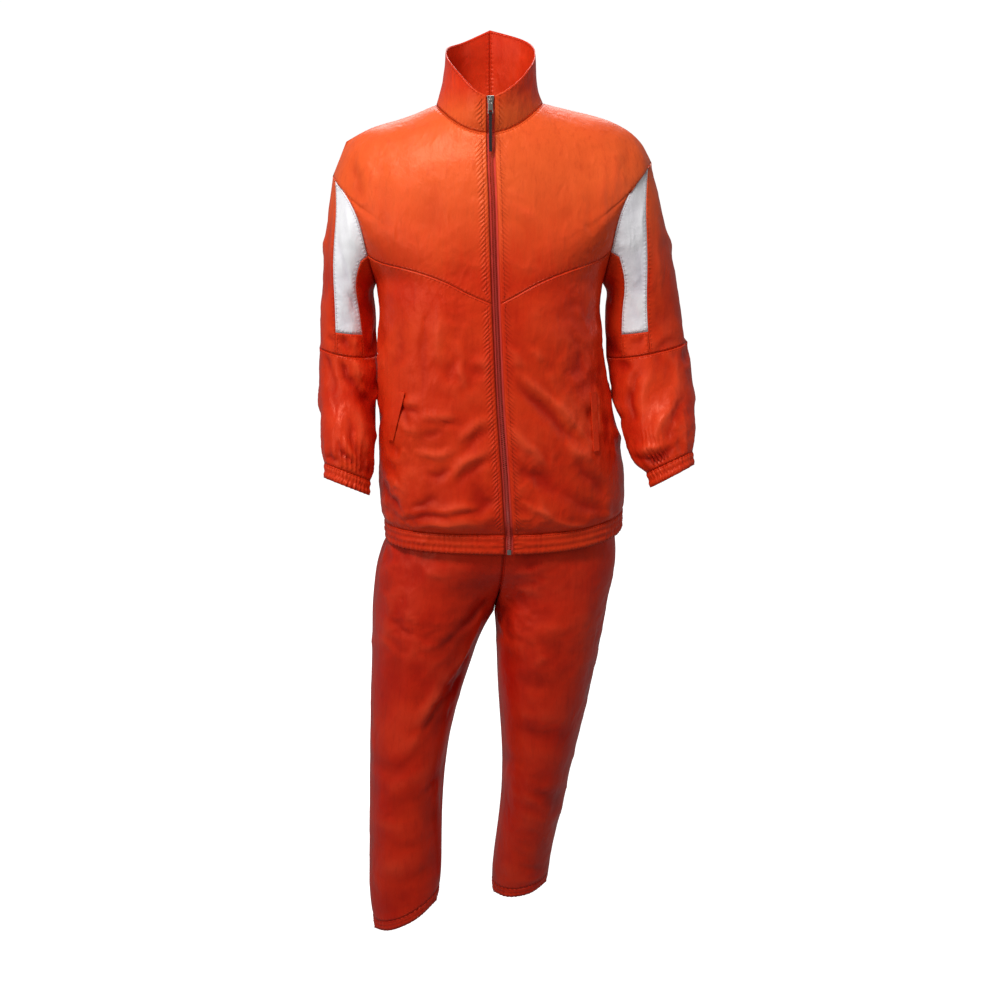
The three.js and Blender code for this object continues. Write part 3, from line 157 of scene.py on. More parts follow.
@dataclass(frozen=True)
class ShellNylon:
    """Thin woven nylon shell cloth with a soft lustre, crinkled all over, with lockstitched seams."""

    name: str
    slot: str
    face: str
    worn: str
    # Colour of the painted shade in troughs, seam ditches and puckers, and of the weave's darker streaks
    shade_and_streak: str
    # Colour of the painted highlight on the ridges of folds
    painted_highlight: str
    thread: str
    # Lustre of the thread's own colour
    gleam: str = "#FFA080"
    ior: float = 1.53
    roughness: float = 0.38
    # How much the gloss differs between rubbed cloth and fresh
    uneven_gloss: float = 0.14
    # Crumples of the light cloth, the share of them, and the places where they gather
    crinkle_mm: float = 6.0
    crinkle: float = 0.62
    crumpled_mm: float = 71.4
    # Places where handling has worn the face
    worn_mm: float = 90.9
    # Threads are about 0.2 mm apart, drawn 1.4 mm apart so that the weave's grain shows
    weave_mm: float = 1.4
    streak_mm: float = 6.67
    # The whole relief is this deep
    depth_mm: float = 1.6
    # Length of a stitch with its gap, the part of it that is thread, and the thread's half width
    stitch_mm: float = 3.4
    stitch_share: float = 0.64
    thread_mm: float = 0.6
    # The cloth sinks into the seam over this width
    ditch_mm: float = 1.3
    # Short folds that the stitching draws up, and how far apart their spacing changes
    pucker_mm: float = 6.6
    pucker_change_mm: float = 22.2
    # Colour and share of the painted light on the top, which stands for light from above, and the heights in
    # metres where it starts and where it is whole
    painted_top_light: str = "#FA6A30"
    top_light_share: float = 0.75
    top_light_start: float = -0.1786
    top_light_whole: float = -0.0357
    # The weave's streaks shift those heights upwards and downwards, also in metres
    top_light_ragged: float = 0.09
    # On the upright collar the painted top light stops between these heights
    collar_top_light_whole: float = 0.00667
    collar_top_light_gone: float = 0.04

    def material(self) -> bpy.types.Material:
        """Builds the cloth: colour by wear, painted light on the top, painted shade and painted highlights by
        fold and seam, with stitches, puckers and crinkles as relief.
        """
        material, tree, shader = new_material(self.name)
        place = add_node(tree, "ShaderNodeTexCoord", {}, "Object")
        # Broad patches where the handling shows
        broad = {"Vector": place, "Scale": per_metre(self.worn_mm), "Detail": 5.0, "Roughness": 0.6}
        patch = add_node(tree, NOISE, broad)
        patch = add_node(tree, MATH, {0: patch, 1: 2.2, 2: -0.6}, operation="MULTIPLY_ADD", use_clamp=True)
        # Upright streaks of the weave
        drawn = add_node(tree, "ShaderNodeMapping", {"Vector": place, "Scale": (1.0, 1.0, 0.16)})
        upright = {"Vector": drawn, "Scale": per_metre(self.streak_mm), "Detail": 4.0, "Roughness": 0.7}
        streak = add_node(tree, NOISE, upright)
        sewing = self.sewing(tree, place)
        colour = self.colour(tree, place, patch, streak, sewing)
        tree.links.new(colour, shader.inputs["Base Color"])
        relief = self.relief(tree, place, streak, sewing)
        depth = self.depth_mm * MM
        bump = add_node(tree, "ShaderNodeBump", {"Height": relief, "Strength": 1.0, "Distance": depth})
        tree.links.new(bump, shader.inputs["Normal"])
        gloss = {0: patch, 1: self.uneven_gloss, 2: self.roughness - self.uneven_gloss / 2}
        rough = add_node(tree, MATH, gloss, operation="MULTIPLY_ADD")
        tree.links.new(rough, shader.inputs["Roughness"])
        shader.inputs["IOR"].default_value = self.ior
        shader.inputs["Specular Tint"].default_value = linear(self.gleam)
        return material

    def colour(
        self,
        tree: bpy.types.NodeTree,
        place: bpy.types.NodeSocket,
        patch: bpy.types.NodeSocket,
        streak: bpy.types.NodeSocket,
        sewing: dict[str, bpy.types.NodeSocket],
    ) -> bpy.types.NodeSocket:
        """Lays the cloth's colours over each other, the painted shade, painted highlights and painted top
        light among them.

        Args:
            tree: the material's node tree.
            place: socket of the Object coordinates.
            patch: share of the worn shade.
            streak: the weave's upright streaks.
            sewing: sockets of the stitches, ditches and puckers.

        Returns:
            Socket of the cloth's colour.
        """
        # Painted light: the shoulders and the tops of the sleeves are painted lighter where light from above
        # falls, unevenly along the weave
        height = add_node(tree, "ShaderNodeSeparateXYZ", {0: place}, "Z")
        ragged = add_node(tree, MATH, {0: streak, 1: self.top_light_ragged, 2: height}, operation="MULTIPLY_ADD")
        slope = 1 / (self.top_light_whole - self.top_light_start)
        upwards = {0: ragged, 1: slope, 2: -self.top_light_start * slope}
        painted_top_light = add_node(tree, MATH, upwards, operation="MULTIPLY_ADD", use_clamp=True)
        slope = 1 / (self.collar_top_light_whole - self.collar_top_light_gone)
        downwards = {0: height, 1: slope, 2: -self.collar_top_light_gone * slope}
        collar = add_node(tree, MATH, downwards, operation="MULTIPLY_ADD", use_clamp=True)
        painted_top_light = add_node(tree, MATH, {0: painted_top_light, 1: collar}, operation="MULTIPLY")
        painted_top_light = add_node(tree, MATH, {0: painted_top_light, 1: self.top_light_share}, operation="MULTIPLY")
        # Painted shade: troughs are painted a deeper red; painted highlight: ridges are painted lighter
        fold = add_node(tree, ATTRIBUTE, {}, "Fac", attribute_name=FOLD)
        low = add_node(tree, MATH, {0: fold, 1: -0.75}, operation="MULTIPLY", use_clamp=True)
        # Where the top is painted lighter, the painted shade in the troughs is weaker
        shown = add_node(tree, MATH, {0: painted_top_light, 1: -0.75, 2: 1.0}, operation="MULTIPLY_ADD")
        low = add_node(tree, MATH, {0: low, 1: shown}, operation="MULTIPLY")
        high = add_node(tree, MATH, {0: fold, 1: 0.6}, operation="MULTIPLY", use_clamp=True)
        dim = add_node(tree, MATH, {0: streak, 1: 0.5}, operation="SUBTRACT", use_clamp=True)
        stitch = add_node(tree, MATH, {0: sewing["stitch"], 1: 0.85}, operation="MULTIPLY")
        # The seam's ditch and the troughs of the puckers are painted darker, as painted shade
        ditch = add_node(tree, MATH, {0: sewing["ditch"], 1: 0.12}, operation="MULTIPLY")
        sunk = add_node(tree, MATH, {0: sewing["pucker"], 1: -0.35}, operation="MULTIPLY", use_clamp=True)
        colour = linear(self.face)
        shades = (
            (patch, self.worn),
            (painted_top_light, self.painted_top_light),
            (low, self.shade_and_streak),
            (high, self.painted_highlight),
            (dim, self.shade_and_streak),
            (stitch, self.thread),
            (ditch, self.shade_and_streak),
            (sunk, self.shade_and_streak),
        )
        for share, shade in shades:
            ends = {0: share, MIX_FIRST: colour, MIX_SECOND: linear(shade)}
            colour = add_node(tree, MIX, ends, MIX_RESULT, data_type="RGBA")
        return colour

    def relief(
        self,
        tree: bpy.types.NodeTree,
        place: bpy.types.NodeSocket,
        streak: bpy.types.NodeSocket,
        sewing: dict[str, bpy.types.NodeSocket],
    ) -> bpy.types.NodeSocket:
        """Adds up the small forms of the cloth's face.

        Args:
            tree: the material's node tree.
            place: socket of the Object coordinates.
            streak: the weave's upright streaks.
            sewing: sockets of the stitches, ditches and puckers.

        Returns:
            Socket of the height.
        """
        fineness = per_metre(self.crinkle_mm)
        hung = add_node(tree, "ShaderNodeMapping", {"Vector": place, "Scale": (1.0, 1.0, 0.6)})
        sharp = add_node(
            tree,
            NOISE,
            {"Vector": hung, "Scale": 0.32 * fineness, "Detail": 3.0, "Roughness": 0.5, "Distortion": 0.8},
            noise_type="RIDGED_MULTIFRACTAL",
        )
        soft = add_node(
            tree,
            NOISE,
            {"Vector": hung, "Scale": fineness, "Detail": 4.0, "Roughness": 0.6, "Distortion": 0.5},
        )
        # Some places are crumpled and others lie smooth
        patches = {"Vector": place, "Scale": per_metre(self.crumpled_mm), "Detail": 2.0}
        spread = add_node(tree, NOISE, patches)
        spread = add_node(tree, MATH, {0: spread, 1: 2.7, 2: -0.9}, operation="MULTIPLY_ADD", use_clamp=True)
        sharp = add_node(tree, MATH, {0: sharp, 1: spread}, operation="MULTIPLY")
        weave = add_node(tree, NOISE, {"Vector": place, "Scale": per_metre(self.weave_mm), "Detail": 1.0})
        height = add_node(tree, "ShaderNodeValue", {})
        # Each form's share of the relief
        parts = (
            (sharp, 2.0 * self.crinkle),
            (soft, 0.5 * self.crinkle),
            (weave, 0.07),
            (streak, 0.14),
            (sewing["stitch"], 0.35),
            (sewing["pucker"], 0.42),
            (sewing["ditch"], -0.3),
        )
        for part, share in parts:
            height = add_node(tree, MATH, {0: part, 1: share, 2: height}, operation="MULTIPLY_ADD")
        return height

    def sewing(
        self, tree: bpy.types.NodeTree, place: bpy.types.NodeSocket
    ) -> dict[str, bpy.types.NodeSocket]:
        """Draws stitches, the seam's ditch and puckers from the distances kept on the cloth.

        Args:
            tree: the material's node tree.
            place: socket of the Object coordinates.

        Returns:
            Sockets of the stitches and of the ditch, each 0 to 1, and of the puckers, about -1 to 1.
        """
        gap = add_node(tree, ATTRIBUTE, {}, "Fac", attribute_name=SEAM_GAP)
        run = add_node(tree, ATTRIBUTE, {}, "Fac", attribute_name=SEAM_RUN)
        row = add_node(tree, ATTRIBUTE, {}, "Fac", attribute_name=STITCH_ROW)
        off = add_node(tree, MATH, {0: gap, 1: row}, operation="SUBTRACT")
        off = add_node(tree, MATH, {0: off}, operation="ABSOLUTE")
        across = {0: off, 1: -1 / self.thread_mm, 2: 1.0}
        line = add_node(tree, MATH, across, operation="MULTIPLY_ADD", use_clamp=True)
        beat = add_node(tree, MATH, {0: run, 1: self.stitch_mm}, operation="DIVIDE")
        beat = add_node(tree, MATH, {0: beat}, operation="FRACT")
        dash = add_node(tree, MATH, {0: beat, 1: self.stitch_share}, operation="LESS_THAN")
        stitch = add_node(tree, MATH, {0: line, 1: dash}, operation="MULTIPLY")
        sunk = {0: gap, 1: -1 / self.ditch_mm, 2: 1.0}
        ditch = add_node(tree, MATH, sunk, operation="MULTIPLY_ADD", use_clamp=True)
        # Beside the zip the short folds slant down from it, and elsewhere they cross the seam
        between = (SEAM_ROW + ZIP_ROW) / 2
        zip_side = add_node(tree, MATH, {0: row, 1: between}, operation="GREATER_THAN")
        height = add_node(tree, "ShaderNodeSeparateXYZ", {0: place}, "Z")
        slant = add_node(tree, MATH, {0: height, 1: 1 / MM, 2: gap}, operation="MULTIPLY_ADD")
        along = add_node(tree, MIX, {0: zip_side, 2: run, 3: slant})
        change = {"Vector": place, "Scale": per_metre(self.pucker_change_mm), "Detail": 1.0}
        uneven = add_node(tree, NOISE, change)
        uneven = add_node(tree, MATH, {0: uneven, 1: 9.0}, operation="MULTIPLY")
        beats = math.tau / self.pucker_mm
        turn = add_node(tree, MATH, {0: along, 1: beats, 2: uneven}, operation="MULTIPLY_ADD")
        wave = add_node(tree, MATH, {0: turn}, operation="SINE")
        # They are highest 3.5 mm from a seam, or 8.5 mm from the zip, and end at twice that
        reach = add_node(tree, MATH, {0: zip_side, 1: 5.0, 2: 3.5}, operation="MULTIPLY_ADD")
        near = add_node(tree, MATH, {0: gap, 1: reach}, operation="SUBTRACT")
        near = add_node(tree, MATH, {0: near}, operation="ABSOLUTE")
        near = add_node(tree, MATH, {0: near, 1: reach}, operation="DIVIDE")
        near = add_node(tree, MATH, {0: 1.0, 1: near}, operation="SUBTRACT", use_clamp=True)
        share = add_node(tree, MATH, {0: zip_side, 1: 0.35, 2: 0.3}, operation="MULTIPLY_ADD")
        share = add_node(tree, MATH, {0: share, 1: near}, operation="MULTIPLY")
        pucker = add_node(tree, MATH, {0: wave, 1: share}, operation="MULTIPLY")
        return {"stitch": stitch, "ditch": ditch, "pucker": pucker}


@dataclass(frozen=True)
class KnitTape:
    """Knitted polyester zip tape: matt, with fine ribs along its length."""

    name: str = "knitted_zip_tape"
    face: str = "#F04A3A"
    dark: str = "#CC2C20"
    # Ribs of the knit are about 1 mm apart, drawn wider so that they show
    rib_mm: float = 1.745
    dye_mm: float = 16.7
    # A wave texture turns by this much over one unit of its scale
    wave_turn: float = 20.0

    def material(self) -> bpy.types.Material:
        """Builds the tape: ribs along its length, over an uneven dye."""
        material, tree, shader = new_material(self.name)
        place = add_node(tree, "ShaderNodeTexCoord", {}, "Object")
        ribs = add_node(
            tree,
            "ShaderNodeTexWave",
            {
                "Vector": place,
                "Scale": math.tau / self.wave_turn * per_metre(self.rib_mm),
                "Distortion": 1.5,
                "Detail": 1.0,
            },
            "Fac",
            wave_type="BANDS",
            bands_direction="X",
        )
        shade = add_node(tree, NOISE, {"Vector": place, "Scale": per_metre(self.dye_mm), "Detail": 4.0})
        ends = {0: shade, MIX_FIRST: linear(self.face), MIX_SECOND: linear(self.dark)}
        tree.links.new(add_node(tree, MIX, ends, MIX_RESULT, data_type="RGBA"), shader.inputs["Base Color"])
        bump = add_node(tree, "ShaderNodeBump", {"Height": ribs, "Strength": 0.5, "Distance": 0.4 * MM})
        tree.links.new(bump, shader.inputs["Normal"])
        shader.inputs["Roughness"].default_value = 0.82
        return material


@dataclass(frozen=True)
class Moulded:
    """Moulded or cast material of one colour, with a fine cast grain and uneven gloss."""

    name: str
    face: str
    dark: str
    roughness: float
    metallic: float = 0.0
    uneven_gloss: float = 0.2
    # Real grain is finer, and is drawn as coarse as it needs to show
    grain_mm: float = 0.8

    def material(self) -> bpy.types.Material:
        """Builds the material: colour and gloss vary with a fine grain."""
        material, tree, shader = new_material(self.name)
        place = add_node(tree, "ShaderNodeTexCoord", {}, "Object")
        grain = add_node(tree, NOISE, {"Vector": place, "Scale": per_metre(self.grain_mm), "Detail": 3.0})
        ends = {0: grain, MIX_FIRST: linear(self.face), MIX_SECOND: linear(self.dark)}
        tree.links.new(add_node(tree, MIX, ends, MIX_RESULT, data_type="RGBA"), shader.inputs["Base Color"])
        gloss = {0: grain, 1: self.uneven_gloss, 2: self.roughness - self.uneven_gloss / 2}
        rough = add_node(tree, MATH, gloss, operation="MULTIPLY_ADD")
        tree.links.new(rough, shader.inputs["Roughness"])
        bump = add_node(tree, "ShaderNodeBump", {"Height": grain, "Strength": 0.25, "Distance": 0.2 * MM})
        tree.links.new(bump, shader.inputs["Normal"])
        shader.inputs["Metallic"].default_value = self.metallic
        return material


# Shell nylon of the jacket: bright red-orange, lighter where it is rubbed, with a painted highlight on its
# ridges and deep red painted shade in its hollows
JACKET_NYLON = ShellNylon(
    name="jacket_shell_nylon",
    slot="jacket_nylon",
    face="#DA2A10",
    worn="#EA4018",
    shade_and_streak="#A80E08",
    painted_highlight="#F8542E",
    thread="#B0180C",
)
# The same nylon in white, with lilac painted shade in its hollows, sewn with red thread
WHITE_NYLON = ShellNylon(
    name="white_shell_nylon",
    slot="white_nylon",
    face="#FAF6FC",
    worn="#FFFFFF",
    shade_and_streak="#D8CEDE",
    painted_highlight="#FFFFFF",
    thread="#A8141A",
    gleam="#FFFFFF",
    top_light_share=0.0,
)
# Trouser nylon of the same batch, painted a deeper red as shade, since the legs hang lower, further from the
# lights above
TROUSER_NYLON = ShellNylon(
    name="trouser_shell_nylon",
    slot="trouser_nylon",
    face="#CA1C0E",
    worn="#DC3014",
    shade_and_streak="#8E0C08",
    painted_highlight="#EA4A2C",
    thread="#8A0C08",
    crinkle=0.35,
    top_light_share=0.0,
)
ZIP_TAPE = KnitTape()
# Extruded nylon coil: satin red teeth that catch the light
COIL_NYLON = Moulded("zip_coil_nylon", "#F05848", "#C42C26", 0.3)
# Die-cast zinc slider, puller and foot, nickel plated: a warm grey mirror, blurred by wear
NICKEL = Moulded("nickel_plated_zinc", "#C9C4BC", "#8E8A84", 0.3, 1.0)
# Moulded soft black plastic of the pull's tab: matt, with a faint violet cast
TAB_RUBBER = Moulded("soft_black_tab", "#1C0E14", "#0A0508", 0.55)


@dataclass(frozen=True)
class Cut:
    """One cut piece of cloth: the solid that it stands for, and its flat size in metres."""

    node: str
    width: float
    length: float
    # How much of that rectangle the piece's outline fills
    share: float
    # How many times each face of the solid is split
    levels: int
    held: Held = Held.HUNG


@dataclass(frozen=True)
class Crease:
    """One soft ridge or trough, in mm in the part's frame."""

    facing: Facing
    start: tuple[float, float]
    end: tuple[float, float]
    # Half width, and height above the cloth, below it when negative
    width: float
    height: float
    # How far its middle bows to the left of its run, and how much wider that side of it is
    bend: float = 0.0
    lean: float = 0.0

    def relief(self, places: np.ndarray, normals: np.ndarray) -> np.ndarray:
        """Measures the crease at every point of a piece.

        Args:
            places: points in mm.
            normals: outward directions at the points.

        Returns:
            Height along the normal at each point, in mm.
        """
        out = np.array(self.facing.value)
        across = places[:, 0] if self.facing in (Facing.FRONT, Facing.BACK) else places[:, 1]
        flat = np.stack([across, places[:, 2]], 1)
        first, last = np.array(self.start), np.array(self.end)
        length = float(np.linalg.norm(last - first))
        along = (last - first) / length
        side = np.array([-along[1], along[0]])
        reach = (flat - first) @ along
        part = np.clip(reach / length, 0.0, 1.0)
        bow = 4 * part * (1 - part)
        # It wanders by a fifth of its width, and widens towards its end
        wander = 0.22 * self.width * np.sin(part * 9.0 + self.start[0]) * bow
        off = (flat - first) @ side - self.bend * bow - wander
        wide = self.width * np.where(off > 0, 1 + self.lean, 1 - self.lean) * (0.8 + 0.4 * part)
        past = (reach - part * length) / self.width
        # The crest is sharper than a bell curve's, and dies away at both ends
        body = np.exp(-(np.abs(off / wide) ** 1.6) - past**2)
        fade = np.sin(np.pi * np.clip(0.04 + 0.92 * part, 0, 1)) ** 0.7
        # Cloth that faces another way is left out
        faces = np.clip((normals[:, :2] @ out - 0.05) / 0.4, 0.0, 1.0)
        return self.height * body * fade * faces


def front(
    x1: float,
    z1: float,
    x2: float,
    z2: float,
    width: float,
    height: float,
    bend: float = 0.0,
    lean: float = 0.0,
) -> Crease:
    """Names a crease on the front, its ends by x and z in mm."""
    return Crease(Facing.FRONT, (x1, z1), (x2, z2), width, height, bend, lean)


def behind(
    x1: float,
    z1: float,
    x2: float,
    z2: float,
    width: float,
    height: float,
    bend: float = 0.0,
    lean: float = 0.0,
) -> Crease:
    """Names a crease on the back, its ends by x and z in mm."""
    return Crease(Facing.BACK, (x1, z1), (x2, z2), width, height, bend, lean)


def beside(
    facing: Facing, y1: float, z1: float, y2: float, z2: float, width: float, height: float, bend: float = 0.0
) -> Crease:
    """Names a crease on a side, its ends by y and z in mm."""
    return Crease(facing, (y1, z1), (y2, z2), width, height, bend)


def node_copy(name: str) -> bmesh.types.BMesh:
    """Copies a solid into a bmesh with its loose triangles joined.

    Args:
        name: the solid's name.

    Returns:
        The bmesh, for the caller to free.
    """
    work = bmesh.new()
    work.from_mesh(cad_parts[name].data)
    bmesh.ops.remove_doubles(work, verts=work.verts[:], dist=0.005 * MM)
    return work


def finish_object(
    name: str, mesh: bpy.types.Mesh, material: bpy.types.Material, body: str
) -> bpy.types.Object:
    """Puts a finished mesh into the scene as a piece that rides on a body.

    Args:
        name: the piece's name.
        mesh: its mesh, in place.
        material: its finish.
        body: the body that it rides on.

    Returns:
        The piece's object.
    """
    mesh.materials.clear()
    mesh.materials.append(material)
    piece = bpy.data.objects.new(name, mesh)
    bpy.context.scene.collection.objects.link(piece)
    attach(piece, body)
    return piece


def round_edges(piece: bpy.types.Object, width_mm: float) -> None:
    """Rounds the sharp edges of a small piece with a live bevel.

    Args:
        piece: the piece.
        width_mm: the rounding's width.
    """
    rounded = piece.modifiers.new("rounded", "BEVEL")
    rounded.width = width_mm * MM
    rounded.segments = 2
    rounded.limit_method = "ANGLE"
    rounded.angle_limit = math.radians(35)


def hand_over(mesh: bpy.types.Mesh, name: str, values: np.ndarray) -> None:
    """Keeps one number for each point of a mesh, for its material.

    Args:
        mesh: the mesh.
        name: the attribute's name.
        values: the numbers.
    """
    layer = mesh.attributes.new(name, "FLOAT", "POINT")
    layer.data.foreach_set("value", values.astype(np.float32))


def outer_side(name: str) -> bmesh.types.BMesh:
    """Keeps the outer side of a solid of cloth, as an open sheet of four-sided faces.

    Args:
        name: the solid's name.

    Returns:
        The sheet's bmesh, for the caller to free.
    """
    work = node_copy(name)
    # A face of the rim has an edge as long as the wall is thick
    slack = 0.12 * MM
    rim = [f for f in work.faces if any(abs(e.calc_length() - SOLID_WALL) < slack for e in f.edges)]
    bmesh.ops.delete(work, geom=rim, context="FACES")
    # Without its rim the wall falls into two sheets, and the outer one is larger
    sides = []
    seen: set[int] = set()
    for face in work.faces:
        if face.index in seen:
            continue
        seen.add(face.index)
        side, queue = [], [face]
        while queue:
            current = queue.pop()
            side.append(current)
            for edge in current.edges:
                for neighbour in edge.link_faces:
                    if neighbour.index not in seen:
                        seen.add(neighbour.index)
                        queue.append(neighbour)
        sides.append(side)
    sides.sort(key=lambda side: sum(f.calc_area() for f in side), reverse=True)
    LOG.info("%s: sides of %s faces", name, [len(side) for side in sides])
    bmesh.ops.delete(work, geom=[f for side in sides[1:] for f in side], context="FACES")
    # Each quad of the solid was cut into two triangles along its diagonal
    diagonals = []
    for edge in work.edges:
        if len(edge.link_faces) == 2:
            longest = [max(face.edges, key=lambda e: e.calc_length()) for face in edge.link_faces]
            if longest[0] is edge and longest[1] is edge:
                diagonals.append(edge)
    bmesh.ops.dissolve_edges(work, edges=diagonals, use_verts=False, use_face_split=False)
    bmesh.ops.join_triangles(
        work,
        faces=[f for f in work.faces if len(f.verts) == 3],
        angle_face_threshold=math.pi,
        angle_shape_threshold=math.pi,
    )
    return work


def corners(names: list[str]) -> np.ndarray:
    """Finds the corners of cut pieces, where the seams of their neighbours must not round off.

    Args:
        names: the pieces' solids.

    Returns:
        The corners' places.
    """
    places = []
    for name in names:
        work = outer_side(name)
        for vert in work.verts:
            rims = [edge.other_vert(vert).co - vert.co for edge in vert.link_edges if edge.is_boundary]
            if len(rims) == 2 and rims[0].angle(rims[1]) < CORNER:
                places.append(tuple(vert.co))
        work.free()
    return np.array(places)


def subdivided(work: bmesh.types.BMesh, name: str, levels: int, pins: np.ndarray) -> bpy.types.Mesh:
    """Turns a coarse sheet into a fine smooth one.

    Args:
        work: the sheet, freed here.
        name: the new mesh's name.
        levels: how many times each face is split.
        pins: corners of all pieces, where an edge stays as it is.

    Returns:
        The fine mesh.
    """
    sharp = work.verts.layers.float.new("crease_vert")
    for vert in work.verts:
        if vert.is_boundary and np.linalg.norm(pins - np.array(vert.co), axis=1).min() < PIN_REACH:
            vert[sharp] = 1.0
    coarse = bpy.data.meshes.new(f"{name}_coarse")
    work.to_mesh(coarse)
    work.free()
    helper = bpy.data.objects.new(f"{name}_coarse", coarse)
    bpy.context.scene.collection.objects.link(helper)
    split = helper.modifiers.new("split", "SUBSURF")
    split.levels = levels
    split.render_levels = levels
    split.boundary_smooth = "PRESERVE_CORNERS"
    graph = bpy.context.evaluated_depsgraph_get()
    mesh = bpy.data.meshes.new_from_object(helper.evaluated_get(graph))
    bpy.data.objects.remove(helper)
    bpy.data.meshes.remove(coarse)
    mesh.name = name
    return mesh


def border(mesh: bpy.types.Mesh, places: np.ndarray) -> list[np.ndarray]:
    """Follows the edges of a sheet.

    Args:
        mesh: the sheet.
        places: its points, in mm.

    Returns:
        The numbers of the points of each edge line, in order, each line closed.
    """
    faces_on: dict[tuple[int, int], int] = {}
    for polygon in mesh.polygons:
        for key in polygon.edge_keys:
            faces_on[key] = faces_on.get(key, 0) + 1
    beside_point: dict[int, list[int]] = {}
    for (a, b), count in faces_on.items():
        if count == 1:
            beside_point.setdefault(a, []).append(b)
            beside_point.setdefault(b, []).append(a)
    lines = []
    open_points = set(beside_point)
    while open_points:
        # Each line starts at its lowest point, so that its stitches fall the same way in every run
        start = min(open_points, key=lambda i: (round(float(places[i, 2]), 3), round(float(places[i, 0]), 3)))
        line, current = [start], start
        open_points.discard(start)
        while True:
            ahead = [i for i in beside_point[current] if i in open_points]
            if not ahead:
                break
            current = ahead[0]
            open_points.discard(current)
            line.append(current)
        lines.append(np.array(line + [start]))
    return lines


@dataclass
class Cloth:
    """Turns a solid of cloth into a thin sheet with creases, sewing distances and a finish, in mm."""

    material: bpy.types.Material
    slot: str
    pins: np.ndarray
    creases: tuple[Crease, ...] = ()
    # Uneven rise and fall of light cloth between its creases, broad and small
    billow: float = 1.1
    crumple: float = 0.45
    # Spacing of the broad, the small and the finest rise and fall
    spacings: tuple[float, float, float] = (62.0, 21.0, 9.0)
    # Spacing of the sharp ridges, and of the patches that they gather in
    ridge_spacing: float = 44.0
    patch_spacing: float = 95.0
    # Spacing of a gathered band's two sets of ribs, and of the elastic's rows across them
    rib_spacings: tuple[float, float] = (8.6, 5.1)
    elastic_spacing: float = 10.5
    # Each edge reaches this far into its seam, and dips by this much over this width
    seam_reach: float = 0.2
    seam_dip: float = 0.3
    seam_width: float = 2.2
    # Points that are measured against the edges at a time, to spare memory
    batch: int = 1500
    zip_line: "ZipLine | None" = None

    def dress(self, cut: Cut) -> bpy.types.Object:
        """Makes one piece of cloth on its solid's form.

        Args:
            cut: the piece.

        Returns:
            The piece's object.
        """
        mesh = subdivided(outer_side(cut.node), f"cloth_{cut.node}", cut.levels, self.pins)
        count = len(mesh.vertices)
        places = np.empty(count * 3)
        mesh.vertices.foreach_get("co", places)
        places = places.reshape(-1, 3) / MM
        normals = np.array([v.normal for v in mesh.vertices])
        gap, run, is_zip = self.sewing_distances(mesh, places)
        rise = self.rise(cut, places, normals, gap, run)
        moved = places + normals * rise[:, None] + self.reach(mesh, places, normals)
        mesh.vertices.foreach_set("co", (moved * MM).ravel())
        hand_over(mesh, FOLD, np.clip(rise / FULL_FOLD, -1, 1))
        hand_over(mesh, SEAM_GAP, gap)
        hand_over(mesh, SEAM_RUN, run)
        hand_over(mesh, STITCH_ROW, np.where(is_zip, ZIP_ROW, SEAM_ROW))
        mesh.polygons.foreach_set("use_smooth", [True] * len(mesh.polygons))
        mesh.update()
        piece = finish_object(f"cloth_{cut.node}", mesh, self.material, GARMENT)
        wall = piece.modifiers.new("wall", "SOLIDIFY")
        wall.thickness = CLOTH
        wall.offset = -1.0
        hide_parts(cut.node)
        LOG.info("%s: %d points, height %.1f to %.1f mm", cut.node, count, rise.min(), rise.max())
        return piece

    def sewing_distances(
        self, mesh: bpy.types.Mesh, places: np.ndarray
    ) -> tuple[np.ndarray, np.ndarray, np.ndarray]:
        """Measures each point's distance from the piece's edge and along it.

        Args:
            mesh: the sheet.
            places: its points, in mm.

        Returns:
            Distance from the edge, distance along it, and whether that edge is the zip's, per point.
        """
        starts, ends, runs = [], [], []
        for line in border(mesh, places):
            track = places[line]
            lengths = np.linalg.norm(np.diff(track, axis=0), axis=1)
            starts.append(track[:-1])
            ends.append(track[1:])
            runs.append(np.concatenate([[0.0], np.cumsum(lengths)[:-1]]))
        a, b, base = np.concatenate(starts), np.concatenate(ends), np.concatenate(runs)
        step = b - a
        size = np.maximum((step**2).sum(1), 1e-9)
        near_zip = self.zip_line.touches(a) if self.zip_line else np.zeros(len(a), bool)
        gap, run = np.empty(len(places)), np.empty(len(places))
        is_zip = np.zeros(len(places), bool)
        for low in range(0, len(places), self.batch):
            here = slice(low, low + self.batch)
            block = places[here]
            rel = block[:, None, :] - a[None]
            part = np.clip((rel * step[None]).sum(2) / size, 0, 1)
            away = np.linalg.norm(rel - part[..., None] * step[None], axis=2)
            best = away.argmin(1)
            rows = np.arange(len(block))
            gap[here] = away[rows, best]
            run[here] = base[best] + part[rows, best] * np.sqrt(size[best])
            is_zip[here] = near_zip[best]
        return gap, run, is_zip

    def reach(self, mesh: bpy.types.Mesh, places: np.ndarray, normals: np.ndarray) -> np.ndarray:
        """Moves a piece's edges outwards in the plane of the cloth, so that a seam closes.

        Args:
            mesh: the sheet.
            places: its points, in mm.
            normals: outward directions at the points.

        Returns:
            Shift of each point, in mm.
        """
        shift = np.zeros_like(places)
        middle = places.mean(0)
        for line in border(mesh, places):
            track = places[line[:-1]]
            side = np.cross(np.roll(track, -1, 0) - np.roll(track, 1, 0), normals[line[:-1]])
            side /= np.maximum(np.linalg.norm(side, axis=1), 1e-6)[:, None]
            outwards = 1.0 if ((track - middle) * side).sum() > 0 else -1.0
            shift[line[:-1]] = side * outwards * self.seam_reach
        return shift

    def rise(
        self, cut: Cut, places: np.ndarray, normals: np.ndarray, gap: np.ndarray, run: np.ndarray
    ) -> np.ndarray:
        """Adds up every form that lifts or sinks the cloth of a piece.

        Args:
            cut: the piece.
            places: its points, in mm.
            normals: outward directions.
            gap: distances from the edge.
            run: distances along the edge.

        Returns:
            Height along the normal at each point, in mm.
        """
        rise = np.zeros(len(places))
